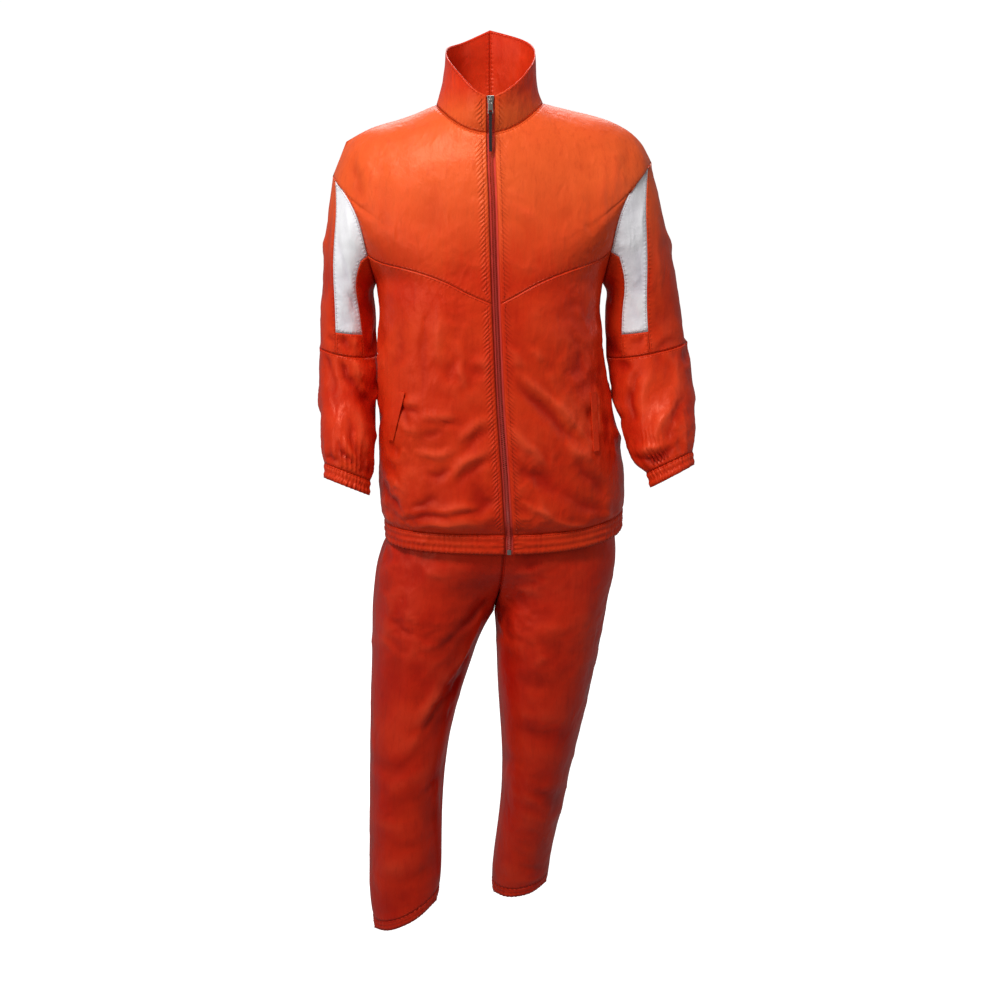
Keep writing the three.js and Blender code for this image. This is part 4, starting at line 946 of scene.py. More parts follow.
        # Seams are stiffer than the cloth between them, so every form is lower there
        crease_share = np.clip(0.25 + gap / 12.0, 0.0, 1.0)
        for crease in self.creases:
            rise += crease.relief(places, normals) * crease_share
        calm = np.clip(gap / 14.0, 0.0, 1.0)
        shifts = ((0, 0, 0), (9, 4, 2), (3, 7, 5))
        heights = (self.billow * 1.6, self.crumple * 1.4, self.crumple * 0.6)
        for spacing, shift, height in zip(self.spacings, shifts, heights):
            wave = np.array([noise.noise(Vector(p) / spacing + Vector(shift)) for p in places])
            rise += calm * wave * height
        rise += (0.12 + 0.88 * calm) * self.crumples(places)
        # Cloth rolls into its seams
        rise -= self.seam_dip * np.exp(-((gap / self.seam_width) ** 2))
        if cut.held is Held.GATHERED:
            rise += self.gathers(places, run, gap)
        return rise

    def crumples(self, places: np.ndarray) -> np.ndarray:
        """Shapes the sharp small ridges of light nylon, in patches with smoother cloth between them.

        Args:
            places: points in mm.

        Returns:
            Height along the normal at each point, in mm.
        """
        # The ridges bend this way and that by 3 mm
        places = places + 3.0 * np.sin(places[:, [1, 2, 0]] / 11.0)
        wide = places / self.ridge_spacing
        sharp = np.array([noise.ridged_multi_fractal(Vector(p), 0.75, 2.3, 4, 1.0, 2.0) for p in wide])
        patch = np.array([noise.noise(Vector(p) / self.patch_spacing + Vector((5, 1, 8))) for p in places])
        # The yokes and the tops of the sleeves, down to 170 mm under the neck, hang smooth from the shoulders
        low = np.clip((-170.0 - places[:, 2]) / 170.0, 0.3, 1.0)
        return (sharp - 1.2) * self.crumple * 5.0 * low * np.clip(0.55 + 1.7 * patch, 0.25, 1.1)

    def gathers(self, places: np.ndarray, run: np.ndarray, gap: np.ndarray) -> np.ndarray:
        """Shapes the upright ribs that elastic draws into a band, and the rows of the elastic across them.

        Args:
            places: points in mm.
            run: distances along the edge, in mm.
            gap: distances from the edge, in mm.

        Returns:
            Height along the normal at each point, in mm.
        """
        turn = run + 2.5 * np.sin(places[:, 2] / 9.0)
        uneven = 0.5 + 0.5 * np.sin(turn / 37.0 + 0.6 * np.sin(turn / 90.0))
        wide, narrow = (turn / spacing * math.tau for spacing in self.rib_spacings)
        ribs = 0.7 * np.sin(wide) * uneven + 0.4 * np.sin(narrow + 1.3)
        return ribs - 0.5 * np.cos(gap / self.elastic_spacing * math.tau)


@dataclass
class ZipLine:
    """The line of the closed zip, taken from its coil's solid, in mm."""

    node: str = "zip_coil"
    # Points that the line has
    steps: int = 70
    # Two rings of the solid's points stand further apart in height than this
    ring_gap: float = 3.0
    # A piece's edge on the front is the zip's within this distance of its centre
    half_width: float = 10.0
    front_y: float = -60.0
    track: np.ndarray = field(init=False)

    def __post_init__(self) -> None:
        """Follows the coil from its foot to its top."""
        work = node_copy(self.node)
        points = np.array([v.co for v in work.verts]) / MM
        work.free()
        points = points[points[:, 2].argsort()]
        breaks = np.nonzero(np.diff(points[:, 2]) > self.ring_gap)[0] + 1
        rows = [(row[:, 0].mean(), row[:, 1].min(), row[:, 2].mean()) for row in np.split(points, breaks)]
        coarse = np.array(rows)
        levels = np.linspace(coarse[0, 2], coarse[-1, 2], self.steps)
        self.track = np.stack([np.interp(levels, coarse[:, 2], coarse[:, i]) for i in (0, 1)] + [levels], -1)
        # Each point is evened out with its neighbours
        kernel = np.array([1, 2, 3, 2, 1]) / 9
        for axis in (0, 1):
            padded = np.pad(self.track[:, axis], 2, mode="edge")
            self.track[:, axis] = np.convolve(padded, kernel, "valid")

    def at(self, z: np.ndarray | float) -> np.ndarray:
        """Finds the zip's centre at a height.

        Args:
            z: height in mm.

        Returns:
            Points on the coil's outer face.
        """
        z = np.asarray(z, float)
        return np.stack([np.interp(z, self.track[:, 2], self.track[:, i]) for i in (0, 1)] + [z], -1)

    def touches(self, points: np.ndarray) -> np.ndarray:
        """Tells which points lie along the zip.

        Args:
            points: places in mm.

        Returns:
            True where a point is on the front and beside the zip's centre.
        """
        centre = self.at(points[:, 2])
        return (np.abs(points[:, 0] - centre[:, 0]) < self.half_width) & (points[:, 1] < self.front_y)


@dataclass
class Zip:
    """The closed front zip: tapes, coil, slider, puller and tab, in mm."""

    line: ZipLine
    pitch: float = 1.5
    # Width, depth and height of a tooth, its distance from the middle, and how far it is sunk
    tooth: tuple[float, float, float] = (3.2, 1.5, 0.95)
    offset: float = 0.9
    sunk: float = 0.55
    tooth_rounding: float = 0.22
    # Room that the teeth leave for the foot and for the slider
    foot_room: float = 9.0
    slider_room: float = 12.0
    # Size of the metal foot, height of its middle, how far it is sunk, and its rounding
    foot: tuple[float, float, float] = (6.0, 2.2, 8.0)
    foot_middle: float = 4.0
    foot_sunk: float = 0.3
    foot_rounding: float = 0.5
    # Rounding of the other pieces' edges
    slider_rounding: float = 0.35
    puller_rounding: float = 0.3
    tab_rounding: float = 0.7

    def build(self) -> None:
        """Makes the coil's teeth and dresses the tapes and the metal."""
        tape = ZIP_TAPE.material()
        for side in ("right", "left"):
            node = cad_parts[f"zip_tape_{side}"]
            node.data.materials.clear()
            node.data.materials.append(tape)
        self.chain()
        metal = NICKEL.material()
        self.end(metal)
        for name in ("zip_slider", "zip_crown"):
            self.bevelled(name, metal, GARMENT, self.slider_rounding)
        self.bevelled("zip_puller", metal, ZIP_PULL, self.puller_rounding)
        self.bevelled("zip_tab", TAB_RUBBER.material(), ZIP_PULL, self.tab_rounding)

    def chain(self) -> None:
        """Makes the coil as two rows of interlocked teeth, each set square to the zip's line."""
        work = bmesh.new()
        low = self.line.track[0, 2] + self.foot_room
        high = self.line.track[-1, 2] - self.slider_room
        for i in range(int((high - low) / self.pitch)):
            z = low + i * self.pitch
            here, ahead = self.line.at(z), self.line.at(z + 4)
            along = Vector(ahead - here).normalized()
            right = Vector((1, 0, 0))
            right = (right - along * right.dot(along)).normalized()
            out = right.cross(along).normalized()
            if out.y > 0:
                out = -out
            side = self.offset if i % 2 else -self.offset
            centre = Vector(here) - out * self.sunk + right * side
            turn = Matrix((right, out, along)).transposed().to_4x4()
            size = Matrix.Diagonal((*self.tooth, 1))
            place = Matrix.Diagonal((MM, MM, MM, 1)) @ Matrix.Translation(centre) @ turn @ size
            bmesh.ops.create_cube(work, size=1.0, matrix=place)
        self.soften(work, self.tooth_rounding, 1)
        self.piece("zip_teeth", work, COIL_NYLON.material(), "zip_coil", "zip_coil")

    def end(self, metal: bpy.types.Material) -> None:
        """Makes the metal foot, which closes the chain at the hem.

        Args:
            metal: its finish.
        """
        work = bmesh.new()
        centre = Vector(self.line.at(self.line.track[0, 2] + self.foot_middle))
        centre += Vector((0, self.foot_sunk, 0))
        place = Matrix.Diagonal((MM, MM, MM, 1)) @ Matrix.Translation(centre)
        bmesh.ops.create_cube(work, size=1.0, matrix=place @ Matrix.Diagonal((*self.foot, 1)))
        self.soften(work, self.foot_rounding, 2)
        self.piece("zip_foot", work, metal, "zip_metal")

    def soften(self, work: bmesh.types.BMesh, width: float, segments: int) -> None:
        """Bevels every edge of a shape.

        Args:
            work: the shape.
            width: the bevel's width, in mm.
            segments: how many faces make the rounding.
        """
        bmesh.ops.bevel(
            work,
            geom=work.edges[:],
            offset=width * MM,
            segments=segments,
            profile=0.5,
            affect="EDGES",
            material=-1,
        )

    def piece(
        self, name: str, work: bmesh.types.BMesh, material: bpy.types.Material, slot: str, *nodes: str
    ) -> None:
        """Finishes a bmesh as a piece of the zip.

        Args:
            name: the piece's name.
            work: its shape, freed here.
            material: its finish.
            slot: a material slot's name, not used.
            nodes: solids that it stands for.
        """
        bmesh.ops.recalc_face_normals(work, faces=work.faces[:])
        mesh = bpy.data.meshes.new(name)
        work.to_mesh(mesh)
        work.free()
        piece = finish_object(name, mesh, material, GARMENT)
        if nodes:
            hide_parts(*nodes)
        LOG.info("%s: %d faces", name, len(mesh.polygons))

    def bevelled(self, node: str, material: bpy.types.Material, body: str, width: float) -> None:
        """Rounds the edges of a small solid.

        Args:
            node: the solid's name.
            material: its finish.
            body: the body that it rides on.
            width: the rounding, in mm.
        """
        work = node_copy(node)
        bmesh.ops.dissolve_limit(
            work, angle_limit=math.radians(2), verts=work.verts[:], edges=work.edges[:], delimit=set()
        )
        mesh = bpy.data.meshes.new(f"dressed_{node}")
        work.to_mesh(mesh)
        work.free()
        piece = finish_object(f"dressed_{node}", mesh, material, body)
        round_edges(piece, width)
        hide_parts(node)
        LOG.info("%s rounded", node)


@dataclass
class Jacket:
    """The zipped jacket: yokes, lower fronts, back, collar, sleeves, pockets and elastic hem."""

    line: ZipLine
    pins: np.ndarray
    # Rounding of a welt's fold, and the distance from any seam that its plain cloth is given, in mm
    welt_rounding: float = 0.5
    plain_gap: float = 9.0
    cuts: tuple[Cut, ...] = (
        Cut("front_yoke_right", 0.275, 0.275, 0.76, 3),
        Cut("front_yoke_left", 0.270, 0.275, 0.76, 3),
        Cut("front_lower_right", 0.270, 0.415, 0.85, 3),
        Cut("front_lower_left", 0.255, 0.415, 0.83, 3),
        Cut("back", 0.550, 0.650, 0.86, 2),
        Cut("collar_right", 0.225, 0.110, 0.68, 3),
        Cut("collar_left", 0.220, 0.110, 0.68, 3),
        Cut("sleeve_outer_right", 0.260, 0.270, 0.75, 3),
        Cut("sleeve_outer_left", 0.300, 0.290, 0.73, 3),
        Cut("sleeve_under_right", 0.065, 0.160, 0.75, 3),
        Cut("sleeve_under_left", 0.065, 0.165, 0.72, 3),
        Cut("sleeve_lower_right", 0.350, 0.200, 0.89, 3),
        Cut("sleeve_lower_left", 0.385, 0.200, 0.85, 3),
        Cut("sleeve_strip_right", 0.045, 0.043, 0.80, 3),
        Cut("sleeve_strip_left", 0.045, 0.043, 0.80, 3),
    )
    white_cuts: tuple[Cut, ...] = (
        Cut("sleeve_white_right", 0.055, 0.225, 0.72, 3),
        Cut("sleeve_white_left", 0.056, 0.243, 0.70, 3),
    )
    bands: tuple[Cut, ...] = (
        Cut("hem_band", 0.990, 0.034, 0.95, 3, Held.GATHERED),
        Cut("cuff_right", 0.235, 0.024, 0.92, 3, Held.GATHERED),
        Cut("cuff_left", 0.235, 0.024, 0.92, 3, Held.GATHERED),
    )
    creases: tuple[Crease, ...] = (
        # Left front: a long bright ridge from the zip to the pocket, over a dark trough
        front(23, -310, 45, -343, 7, 3.4, lean=-0.2),
        front(41, -353, 147, -460, 7, 5.5, bend=5, lean=-0.35),
        front(35, -361, 137, -461, 9, -5.2, bend=-5, lean=0.2),
        front(27, -431, 85, -499, 7, 4.2, bend=3, lean=-0.3),
        front(34, -483, 102, -531, 12, -4.7, bend=-3),
        front(102, -531, 206, -588, 12, -3.9, bend=-3),
        front(108, -459, 150, -487, 7, 3.9),
        front(128, -491, 174, -545, 9, -3.6),
        front(39, -541, 96, -576, 6, 3.6, bend=2, lean=-0.2),
        front(96, -576, 153, -598, 6, 3.1, lean=-0.2),
        front(36, -592, 150, -606, 6, -3.4, bend=-3),
        front(55, -317, 77, -334, 6, 2.9),
        front(82, -350, 109, -396, 6, 2.3, bend=-3),
        front(116, -292, 133, -354, 9, -2.1, bend=5),
        front(162, -331, 173, -401, 8, -2.6, bend=-5),
        front(155, -393, 169, -452, 6, 3.6, bend=-3),
        front(173, -410, 183, -477, 8, -3.4, bend=-3),
        front(136, -399, 149, -436, 6, -2.6, bend=2),
        front(171, -553, 207, -609, 8, 3.1, bend=-5),
        front(104, -612, 154, -616, 6, 2.6, bend=3),
        # Right front: crumples at the pocket, folds that climb to the zip, a blouse over the hem
        front(-143, -391, -109, -399, 5, 3.6, bend=-5),
        front(-139, -408, -106, -416, 5, -3.4, bend=5),
        front(-137, -432, -109, -441, 5, 3.1, bend=-3),
        front(-130, -384, -122, -442, 6, -2.9, bend=-5),
        front(-106, -418, -44, -420, 6, 4.4, bend=3, lean=-0.3),
        front(-94, -426, -41, -426, 6, -4.2, bend=3),
        front(-114, -473, -53, -465, 6, 4.2, bend=-6),
        front(-107, -450, -70, -435, 6, -2.9),
        front(2, -416, -50, -455, 6, 4.2, bend=-5, lean=-0.2),
        front(6, -431, -38, -465, 6, -3.4, bend=-5),
        front(6, -461, -65, -512, 7, 4.4, bend=-6, lean=-0.3),
        front(3, -479, -54, -517, 6, -3.4, bend=-5),
        front(-100, -508, -59, -495, 7, -3.9, bend=-3),
        front(-156, -515, -131, -537, 6, 3.4, bend=-3),
        front(-168, -539, -141, -565, 7, -3.4, bend=-3),
        front(-125, -562, -82, -540, 8, -3.9),
        front(-135, -584, -63, -568, 7, -4.2, bend=3),
        front(-63, -568, 8, -537, 8, -3.9, bend=-5),
        front(-84, -562, 0, -553, 9, 3.9, bend=3, lean=-0.2),
        front(-113, -591, -21, -580, 9, 4.2, bend=5, lean=-0.2),
        front(-165, -618, -105, -615, 7, -3.6, bend=-3),
        front(-105, -615, 15, -604, 7, -3.6, bend=-3),
        front(-94, -264, -99, -375, 8, -2.0, bend=-3),
        front(-74, -255, -70, -379, 8, 2.0, bend=-3),
        front(-44, -317, -39, -378, 5, 2.6, bend=-2),
        front(-34, -334, -5, -333, 8, 2.9, bend=-3),
        front(-130, -272, -148, -357, 9, -2.3, bend=5),
        # Yokes: folds that fall from the shoulders, and faint upright streaks
        front(-198, -50, -181, -106, 9, -3.6, bend=-5),
        front(-178, -54, -160, -118, 8, 1.3, bend=-5),
        front(-153, -64, -140, -178, 9, -1.0, bend=-5),
        front(-114, -43, -109, -153, 11, 0.8, bend=-5),
        front(-72, -70, -78, -177, 12, -0.7, bend=-5),
        front(158, -56, 165, -180, 6, 1.2, bend=-3),
        front(138, -107, 143, -170, 6, -1.0, bend=-2),
        front(85, -127, 82, -180, 6, 1.0, bend=-2),
        front(110, -64, 116, -158, 9, -0.8, bend=-5),
        front(194, -37, 200, -81, 7, -1.4, bend=-3),
        front(174, -56, 179, -110, 7, 1.2, bend=-3),
        front(16, -96, 55, -108, 6, 1.3, bend=-3),
        front(19, -113, 69, -144, 6, 1.4, bend=5, lean=-0.2),
        front(16, -131, 62, -161, 7, -1.3, bend=5),
        front(20, -188, 77, -205, 9, 1.3, bend=-5),
        front(-33, -104, 6, -96, 6, -1.0, bend=-3),
        front(-56, -193, 4, -207, 8, 1.2, bend=3),
        # Back: shallow swags under the shoulders, a blouse over the hem
        behind(-130, -150, 130, -160, 17, 3.4, bend=14),
        behind(-150, -240, -30, -300, 12, 4.0, bend=8),
        behind(150, -240, 30, -310, 12, -4.0, bend=-8),
        behind(-120, -380, 60, -440, 13, 4.3, bend=10, lean=0.3),
        behind(130, -400, -20, -470, 11, -4.0, bend=-6),
        behind(-150, -520, 20, -540, 11, 4.6, bend=-6),
        behind(170, -500, 40, -550, 10, 4.3, bend=6),
        behind(-60, -560, 60, -570, 7, -3.7, bend=4),
        beside(Facing.RIGHT, -60, -430, 40, -480, 9, -4.0, bend=5),
        beside(Facing.LEFT, -60, -450, 50, -500, 9, 4.0, bend=-5),
    )
    sleeve_creases: tuple[Crease, ...] = (
        # Right sleeve: a long valley from the crook of the elbow to the cuff, short ones beside it
        front(-226, -346, -205, -382, 6, -6.0, bend=-2, lean=-0.2),
        front(-205, -382, -173, -436, 6, -6.0, bend=2, lean=-0.2),
        front(-213, -337, -189, -391, 6, 4.2, bend=2),
        front(-197, -369, -171, -409, 9, -4.4, bend=-3),
        front(-254, -334, -233, -425, 8, -2.9, bend=3),
        front(-213, -429, -196, -491, 6, -3.9, bend=-3),
        front(-202, -416, -184, -483, 8, 3.4, bend=-3),
        front(-231, -456, -204, -494, 5, -3.9, bend=-3),
        front(-221, -453, -198, -489, 5, 3.1, bend=-3),
        front(-225, -301, -213, -337, 6, -3.4, bend=2),
        front(-209, -299, -199, -336, 6, 3.1, bend=-2),
        front(-191, -311, -182, -360, 8, -3.1),
        front(-253, -482, -227, -484, 8, -3.4, bend=-2),
        front(-196, -477, -183, -515, 8, -3.9, bend=-2),
        front(-223, -159, -206, -233, 6, -2.1, bend=-3),
        front(-209, -119, -193, -181, 6, 1.8, bend=-3),
        front(-221, -242, -192, -281, 6, -2.3, bend=3),
        front(-207, -210, -197, -256, 5, 1.8, bend=-2),
        front(-231, -110, -250, -256, 6, -2.3, bend=-2),
        front(-250, -309, -224, -316, 5, -2.6, bend=-2),
        front(-254, -331, -242, -358, 5, -2.6, bend=-2),
        # Left sleeve: broad soft diagonals, darker in the crook and over the cuff
        front(254, -141, 260, -184, 8, -2.9, bend=2),
        front(242, -162, 253, -255, 6, 2.3, bend=-2),
        front(229, -299, 246, -332, 6, 3.1, bend=-3),
        front(264, -315, 246, -346, 7, -2.9, bend=-3),
        front(285, -331, 277, -401, 8, 2.6, bend=-3),
        front(276, -404, 242, -454, 8, 4.9, bend=-3, lean=-0.2),
        front(290, -397, 263, -450, 8, -3.9, bend=-3),
        front(223, -361, 209, -410, 8, -3.6, bend=-3),
        front(240, -355, 223, -446, 8, 3.4, bend=-3),
        front(209, -392, 218, -438, 7, -3.9, bend=-3),
        front(224, -478, 254, -464, 7, 3.9, bend=3),
        front(214, -494, 274, -464, 9, -5.5, bend=-5),
        front(191, -332, 211, -362, 8, -3.1, bend=-3),
        front(182, -304, 198, -364, 9, -3.6, bend=-3),
        front(208, -321, 236, -299, 6, -2.6, bend=-3),
        front(220, -112, 217, -167, 6, 2.1, bend=-2),
        front(212, -175, 231, -255, 8, -2.1, bend=-3),
        front(238, -211, 220, -272, 6, 1.8, bend=3),
        # Outer arms and elbows
        beside(Facing.RIGHT, -30, -170, 50, -230, 10, 3.7, bend=6),
        beside(Facing.RIGHT, 50, -300, -30, -350, 9, -4.3, bend=-5),
        beside(Facing.RIGHT, 50, -380, -50, -420, 8, 4.0, bend=6),
        beside(Facing.LEFT, -30, -160, 50, -220, 10, 3.7, bend=6),
        beside(Facing.LEFT, 50, -290, -30, -340, 9, -4.3, bend=-5),
        beside(Facing.LEFT, 50, -370, -50, -410, 8, 4.0, bend=6),
        behind(-250, -200, -200, -290, 9, 3.7, bend=4),
        behind(-262, -330, -196, -372, 8, -4.3, bend=4),
        behind(250, -190, 205, -280, 9, 3.7, bend=-4),
        behind(290, -330, 206, -372, 8, -4.3, bend=-4),
    )

    def build(self) -> None:
        """Dresses every piece of the jacket."""
        red, white = JACKET_NYLON.material(), WHITE_NYLON.material()
        creases = self.creases + self.sleeve_creases
        body = Cloth(red, JACKET_NYLON.slot, self.pins, creases, zip_line=self.line)
        panel = Cloth(white, WHITE_NYLON.slot, self.pins, creases, crumple=0.4)
        band = Cloth(red, JACKET_NYLON.slot, self.pins, billow=0.3, crumple=0.2)
        for cloth, cuts in ((body, self.cuts), (panel, self.white_cuts), (band, self.bands)):
            for cut in cuts:
                cloth.dress(cut)
        for side in ("right", "left"):
            self.welt(f"pocket_welt_{side}", red)

    def welt(self, node: str, material: bpy.types.Material) -> None:
        """Softens a pocket's welt, a folded strip of the same cloth.

        Args:
            node: the welt's solid.
            material: the jacket's cloth.
        """
        work = node_copy(node)
        mesh = bpy.data.meshes.new(f"soft_{node}")
        work.to_mesh(mesh)
        work.free()
        for name, value in ((FOLD, 0.0), (SEAM_GAP, self.plain_gap), (SEAM_RUN, 0.0), (STITCH_ROW, NO_ROW)):
            hand_over(mesh, name, np.full(len(mesh.vertices), value))
        piece = finish_object(f"soft_{node}", mesh, material, GARMENT)
        round_edges(piece, self.welt_rounding)
        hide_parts(node)


@dataclass
class Trousers:
    """The plain trousers: two fronts, two backs, waistband and narrow ankle hems."""

    pins: np.ndarray
    cuts: tuple[Cut, ...] = (
        Cut("trouser_front_right", 0.320, 0.795, 0.74, 3),
        Cut("trouser_front_left", 0.310, 0.795, 0.74, 3),
        Cut("trouser_back_right", 0.322, 0.795, 0.74, 2),
        Cut("trouser_back_left", 0.310, 0.795, 0.74, 2),
    )
    bands: tuple[Cut, ...] = (
        Cut("waistband", 0.830, 0.035, 0.99, 3, Held.GATHERED),
        Cut("ankle_hem_right", 0.350, 0.018, 0.98, 3, Held.GATHERED),
        Cut("ankle_hem_left", 0.320, 0.018, 0.98, 3, Held.GATHERED),
    )
    creases: tuple[Crease, ...] = (
        # The right leg steps forward: valleys fan out from the crotch to the outer knee
        front(-4, -727, -58, -777, 9, -4.4, bend=3, lean=-0.3),
        front(-58, -777, -86, -802, 9, -3.2, lean=-0.2),
        front(-23, -784, -78, -860, 9, 4.0, bend=5, lean=-0.2),
        front(-10, -774, -75, -876, 8, -3.4, bend=6),
        front(-75, -861, -128, -925, 9, 3.4, bend=3, lean=-0.2),
        front(-36, -854, -85, -898, 9, -4.6, bend=5),
        front(-85, -898, -133, -948, 9, -4.6, bend=3),
        front(-88, -871, -157, -994, 9, 3.4, bend=9, lean=-0.3),
        front(-163, -757, -111, -774, 8, -2.2, bend=-3),
        front(-175, -795, -128, -819, 8, 2.2, bend=-3),
        front(-112, -657, -78, -677, 8, 2.2, bend=-3),
        front(-139, -702, -154, -787, 11, -2.0, bend=-3),
        front(-201, -1010, -111, -967, 11, -2.4, bend=-6),
        front(-193, -1031, -103, -1008, 9, 1.7, bend=-6),
        front(-175, -1058, -67, -1022, 9, -1.7, bend=-8),
        front(-198, -1100, -104, -1086, 9, 1.4, bend=-8),
        front(-187, -1126, -89, -1126, 9, -1.8, bend=-8),
        front(-203, -1175, -105, -1164, 9, 1.4, bend=-6),
        front(-188, -1198, -108, -1183, 8, -1.6, bend=-5),
        front(-67, -963, -36, -890, 8, 1.2, bend=-3),
        # The left leg stands straight: shallow bows across it
        front(22, -730, 19, -895, 8, -1.4),
        front(50, -702, 78, -691, 9, 1.5, bend=-3),
        front(44, -733, 100, -734, 8, -1.2, bend=-5),
        front(81, -761, 135, -753, 9, 1.4, bend=-5),
        front(38, -791, 88, -787, 8, -1.3, bend=-5),
        front(60, -822, 88, -809, 9, 1.5, bend=-3),
        front(38, -855, 108, -856, 8, -1.3, bend=-5),
        front(33, -927, 110, -927, 7, 2.0, bend=8),
        front(32, -954, 121, -963, 9, -2.2, bend=8),
        front(48, -993, 122, -1005, 8, 1.2, bend=5),
        front(36, -1039, 99, -1045, 8, -1.4, bend=5),
        front(46, -1084, 90, -1092, 8, 1.5, bend=3),
        front(36, -1119, 70, -1129, 6, 1.7, bend=3),
        front(70, -1129, 101, -1138, 6, 1.4, bend=2),
        front(29, -1157, 99, -1171, 8, -1.5, bend=5),
        front(31, -1185, 71, -1211, 7, 1.5, bend=3),
        front(33, -1225, 97, -1261, 8, -1.4, bend=3),
        front(47, -1262, 94, -1281, 8, 1.2, bend=2),
        front(154, -720, 145, -863, 11, 1.2, bend=-5),
        front(168, -802, 156, -945, 9, -1.1, bend=-5),
        # Backs: swags under the seat and bows behind the knees
        behind(-150, -640, -20, -700, 13, 3.6, bend=8),
        behind(170, -640, 30, -706, 13, 3.6, bend=-8),
        behind(-170, -770, -30, -800, 10, -4.8, bend=8),
        behind(170, -770, 20, -806, 10, -4.8, bend=-8),
        behind(-180, -900, -60, -940, 9, 3.6, bend=6),
        behind(140, -900, 30, -936, 9, 3.6, bend=-6),
        behind(-190, -1010, -90, -1040, 9, -4.5, bend=6),
        behind(130, -1010, 26, -1046, 9, -4.5, bend=-6),
        behind(-196, -1150, -100, -1180, 9, 3.4, bend=5),
        behind(104, -1150, 12, -1186, 9, 3.4, bend=-5),
        beside(Facing.RIGHT, -80, -800, 40, -860, 11, 1.7, bend=8),
        beside(Facing.RIGHT, -100, -1010, 20, -1060, 10, -1.7, bend=8),
        beside(Facing.LEFT, -70, -800, 60, -850, 11, -1.7, bend=-8),
        beside(Facing.LEFT, -60, -1010, 40, -1050, 10, 1.7, bend=-8),
    )

    def build(self) -> None:
        """Dresses every piece of the trousers."""
        red = TROUSER_NYLON.material()
        leg = Cloth(red, TROUSER_NYLON.slot, self.pins, self.creases, billow=1.3, crumple=0.4)
        band = Cloth(red, TROUSER_NYLON.slot, self.pins, billow=0.3, crumple=0.2)
        for cloth, cuts in ((leg, self.cuts), (band, self.bands)):
            for cut in cuts:
                cloth.dress(cut)


@dataclass(frozen=True)
class Softbox:
    """One square soft light: its place and size in metres, its watts and the point that it lights."""

    name: str
    place: tuple[float, float, float]
    size: float
    watts: float
    target: tuple[float, float, float]

    def build(self) -> None:
        """Hangs the light, turned to its target."""
        lamp = bpy.data.lights.new(self.name, "AREA")
        lamp.shape = "SQUARE"
        lamp.size = self.size
        lamp.energy = self.watts
        light = bpy.data.objects.new(self.name, lamp)
        light.location = self.place
        aim = Vector(self.target) - Vector(self.place)
        light.rotation_euler = aim.to_track_quat("-Z", "Y").to_euler()
        bpy.context.scene.collection.objects.link(light)


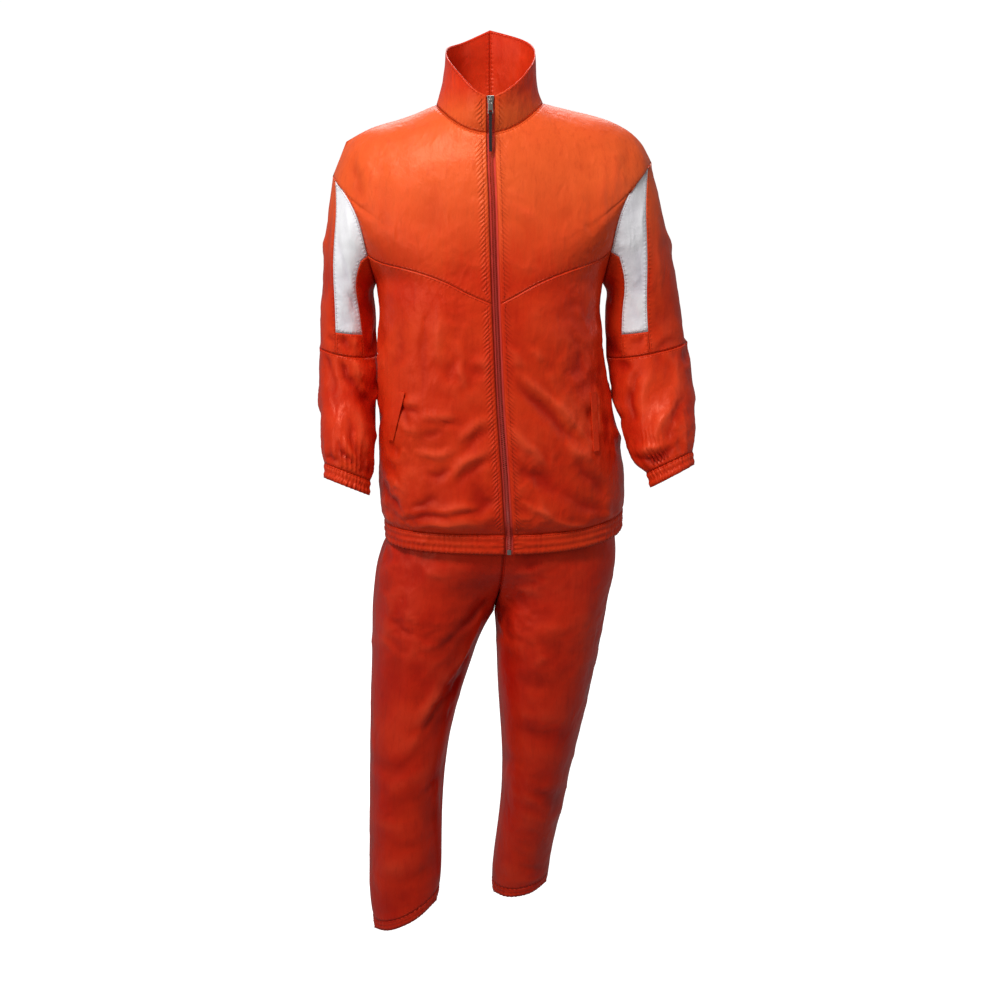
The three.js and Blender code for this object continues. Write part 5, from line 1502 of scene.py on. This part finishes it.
@dataclass
class Studio:
    """A white floor that curves up all round, soft lights from above, and the camera, in metres."""

    camera_place: tuple[float, float, float] = (0.012, -1.70, -0.05)
    # The camera looks down by this many degrees, through a lens and at a sensor in mm
    pitch: float = 17.4
    lens: float = 39.6
    sensor: float = 36.0
    # Height of the floor, its flat radius, and the radius of the curve to the wall
    floor: float = -1.43
    flat: float = 3.0
    curve: float = 1.5
    curve_steps: int = 8
    round_steps: int = 64
    # Light from all round, and the paper's own glow, which keeps it white
    surround: float = 0.2
    glow: float = 0.75
    lights: tuple[Softbox, ...] = (
        Softbox("key_above", (-0.55, -1.15, 1.35), 0.55, 31.0, (0.0, 0.0, -0.35)),
        Softbox("fill_right", (-1.9, -1.7, 0.1), 1.2, 12.0, (-0.05, 0.0, -0.7)),
        Softbox("fill_left", (2.3, -1.2, 0.4), 1.4, 5.0, (0.0, 0.0, -0.5)),
        Softbox("back_wash", (0.0, 1.6, 1.4), 1.6, 26.0, (0.0, 0.0, -0.4)),
    )

    def build(self) -> None:
        """Makes the sweep, the lights, the surrounding light and the camera."""
        self.sweep()
        for light in self.lights:
            light.build()
        world = bpy.data.worlds.new("studio")
        world.use_nodes = True
        background = world.node_tree.nodes["Background"]
        background.inputs["Color"].default_value = linear("#FFFFFF")
        background.inputs["Strength"].default_value = self.surround
        bpy.context.scene.world = world
        bpy.context.scene.view_settings.view_transform = "Standard"
        lens = bpy.data.cameras.new("camera")
        lens.lens = self.lens
        lens.sensor_width = self.sensor
        lens.clip_start = 0.05
        camera = bpy.data.objects.new("camera", lens)
        camera.location = self.camera_place
        camera.rotation_euler = (math.radians(90 - self.pitch), 0.0, 0.0)
        bpy.context.scene.collection.objects.link(camera)
        bpy.context.scene.camera = camera

    def sweep(self) -> None:
        """Makes the floor and the wall round it as one smooth white bowl."""
        work = bmesh.new()
        bottom = Vector((0.0, 0.0, self.floor))
        profile = [bottom, bottom + Vector((self.flat, 0.0, 0.0))]
        for step in range(1, self.curve_steps + 1):
            turn = step / self.curve_steps * math.pi / 2
            out, up = math.sin(turn) * self.curve, (1 - math.cos(turn)) * self.curve
            profile.append(bottom + Vector((self.flat + out, 0.0, up)))
        profile.append(profile[-1] + Vector((0.0, 0.0, self.curve)))
        line = [work.verts.new(place) for place in profile]
        edges = [work.edges.new(pair) for pair in zip(line, line[1:])]
        bmesh.ops.spin(
            work,
            geom=line + edges,
            cent=bottom,
            axis=(0.0, 0.0, 1.0),
            angle=math.tau,
            steps=self.round_steps,
            use_merge=True,
        )
        bmesh.ops.remove_doubles(work, verts=work.verts[:], dist=MM)
        bmesh.ops.recalc_face_normals(work, faces=work.faces[:])
        mesh = bpy.data.meshes.new("white_bowl")
        work.to_mesh(mesh)
        work.free()
        mesh.polygons.foreach_set("use_smooth", [True] * len(mesh.polygons))
        # Matt white paper without a seam, so bright that no edge or shadow of it shows
        material, _, shader = new_material("white_studio_paper")
        shader.inputs["Base Color"].default_value = linear("#FAFAFA")
        shader.inputs["Roughness"].default_value = 0.9
        shader.inputs["Emission Color"].default_value = linear("#FFFFFF")
        shader.inputs["Emission Strength"].default_value = self.glow
        mesh.materials.append(material)
        bowl = bpy.data.objects.new("white_bowl", mesh)
        # It neither lights the cloth nor shows in its lustre
        bowl.visible_diffuse = False
        bowl.visible_glossy = False
        bpy.context.scene.collection.objects.link(bowl)


def main() -> None:
    """Builds the studio and every piece of the suit."""
    logging.basicConfig(level=logging.INFO, format="%(name)s %(message)s")
    Studio().build()
    line = ZipLine()
    cuts = Jacket.cuts + Jacket.white_cuts + Jacket.bands + Trousers.cuts + Trousers.bands
    pins = corners([cut.node for cut in cuts])
    Jacket(line, pins).build()
    Trousers(pins).build()
    Zip(line).build()


if __name__ == "__main__":
    main()
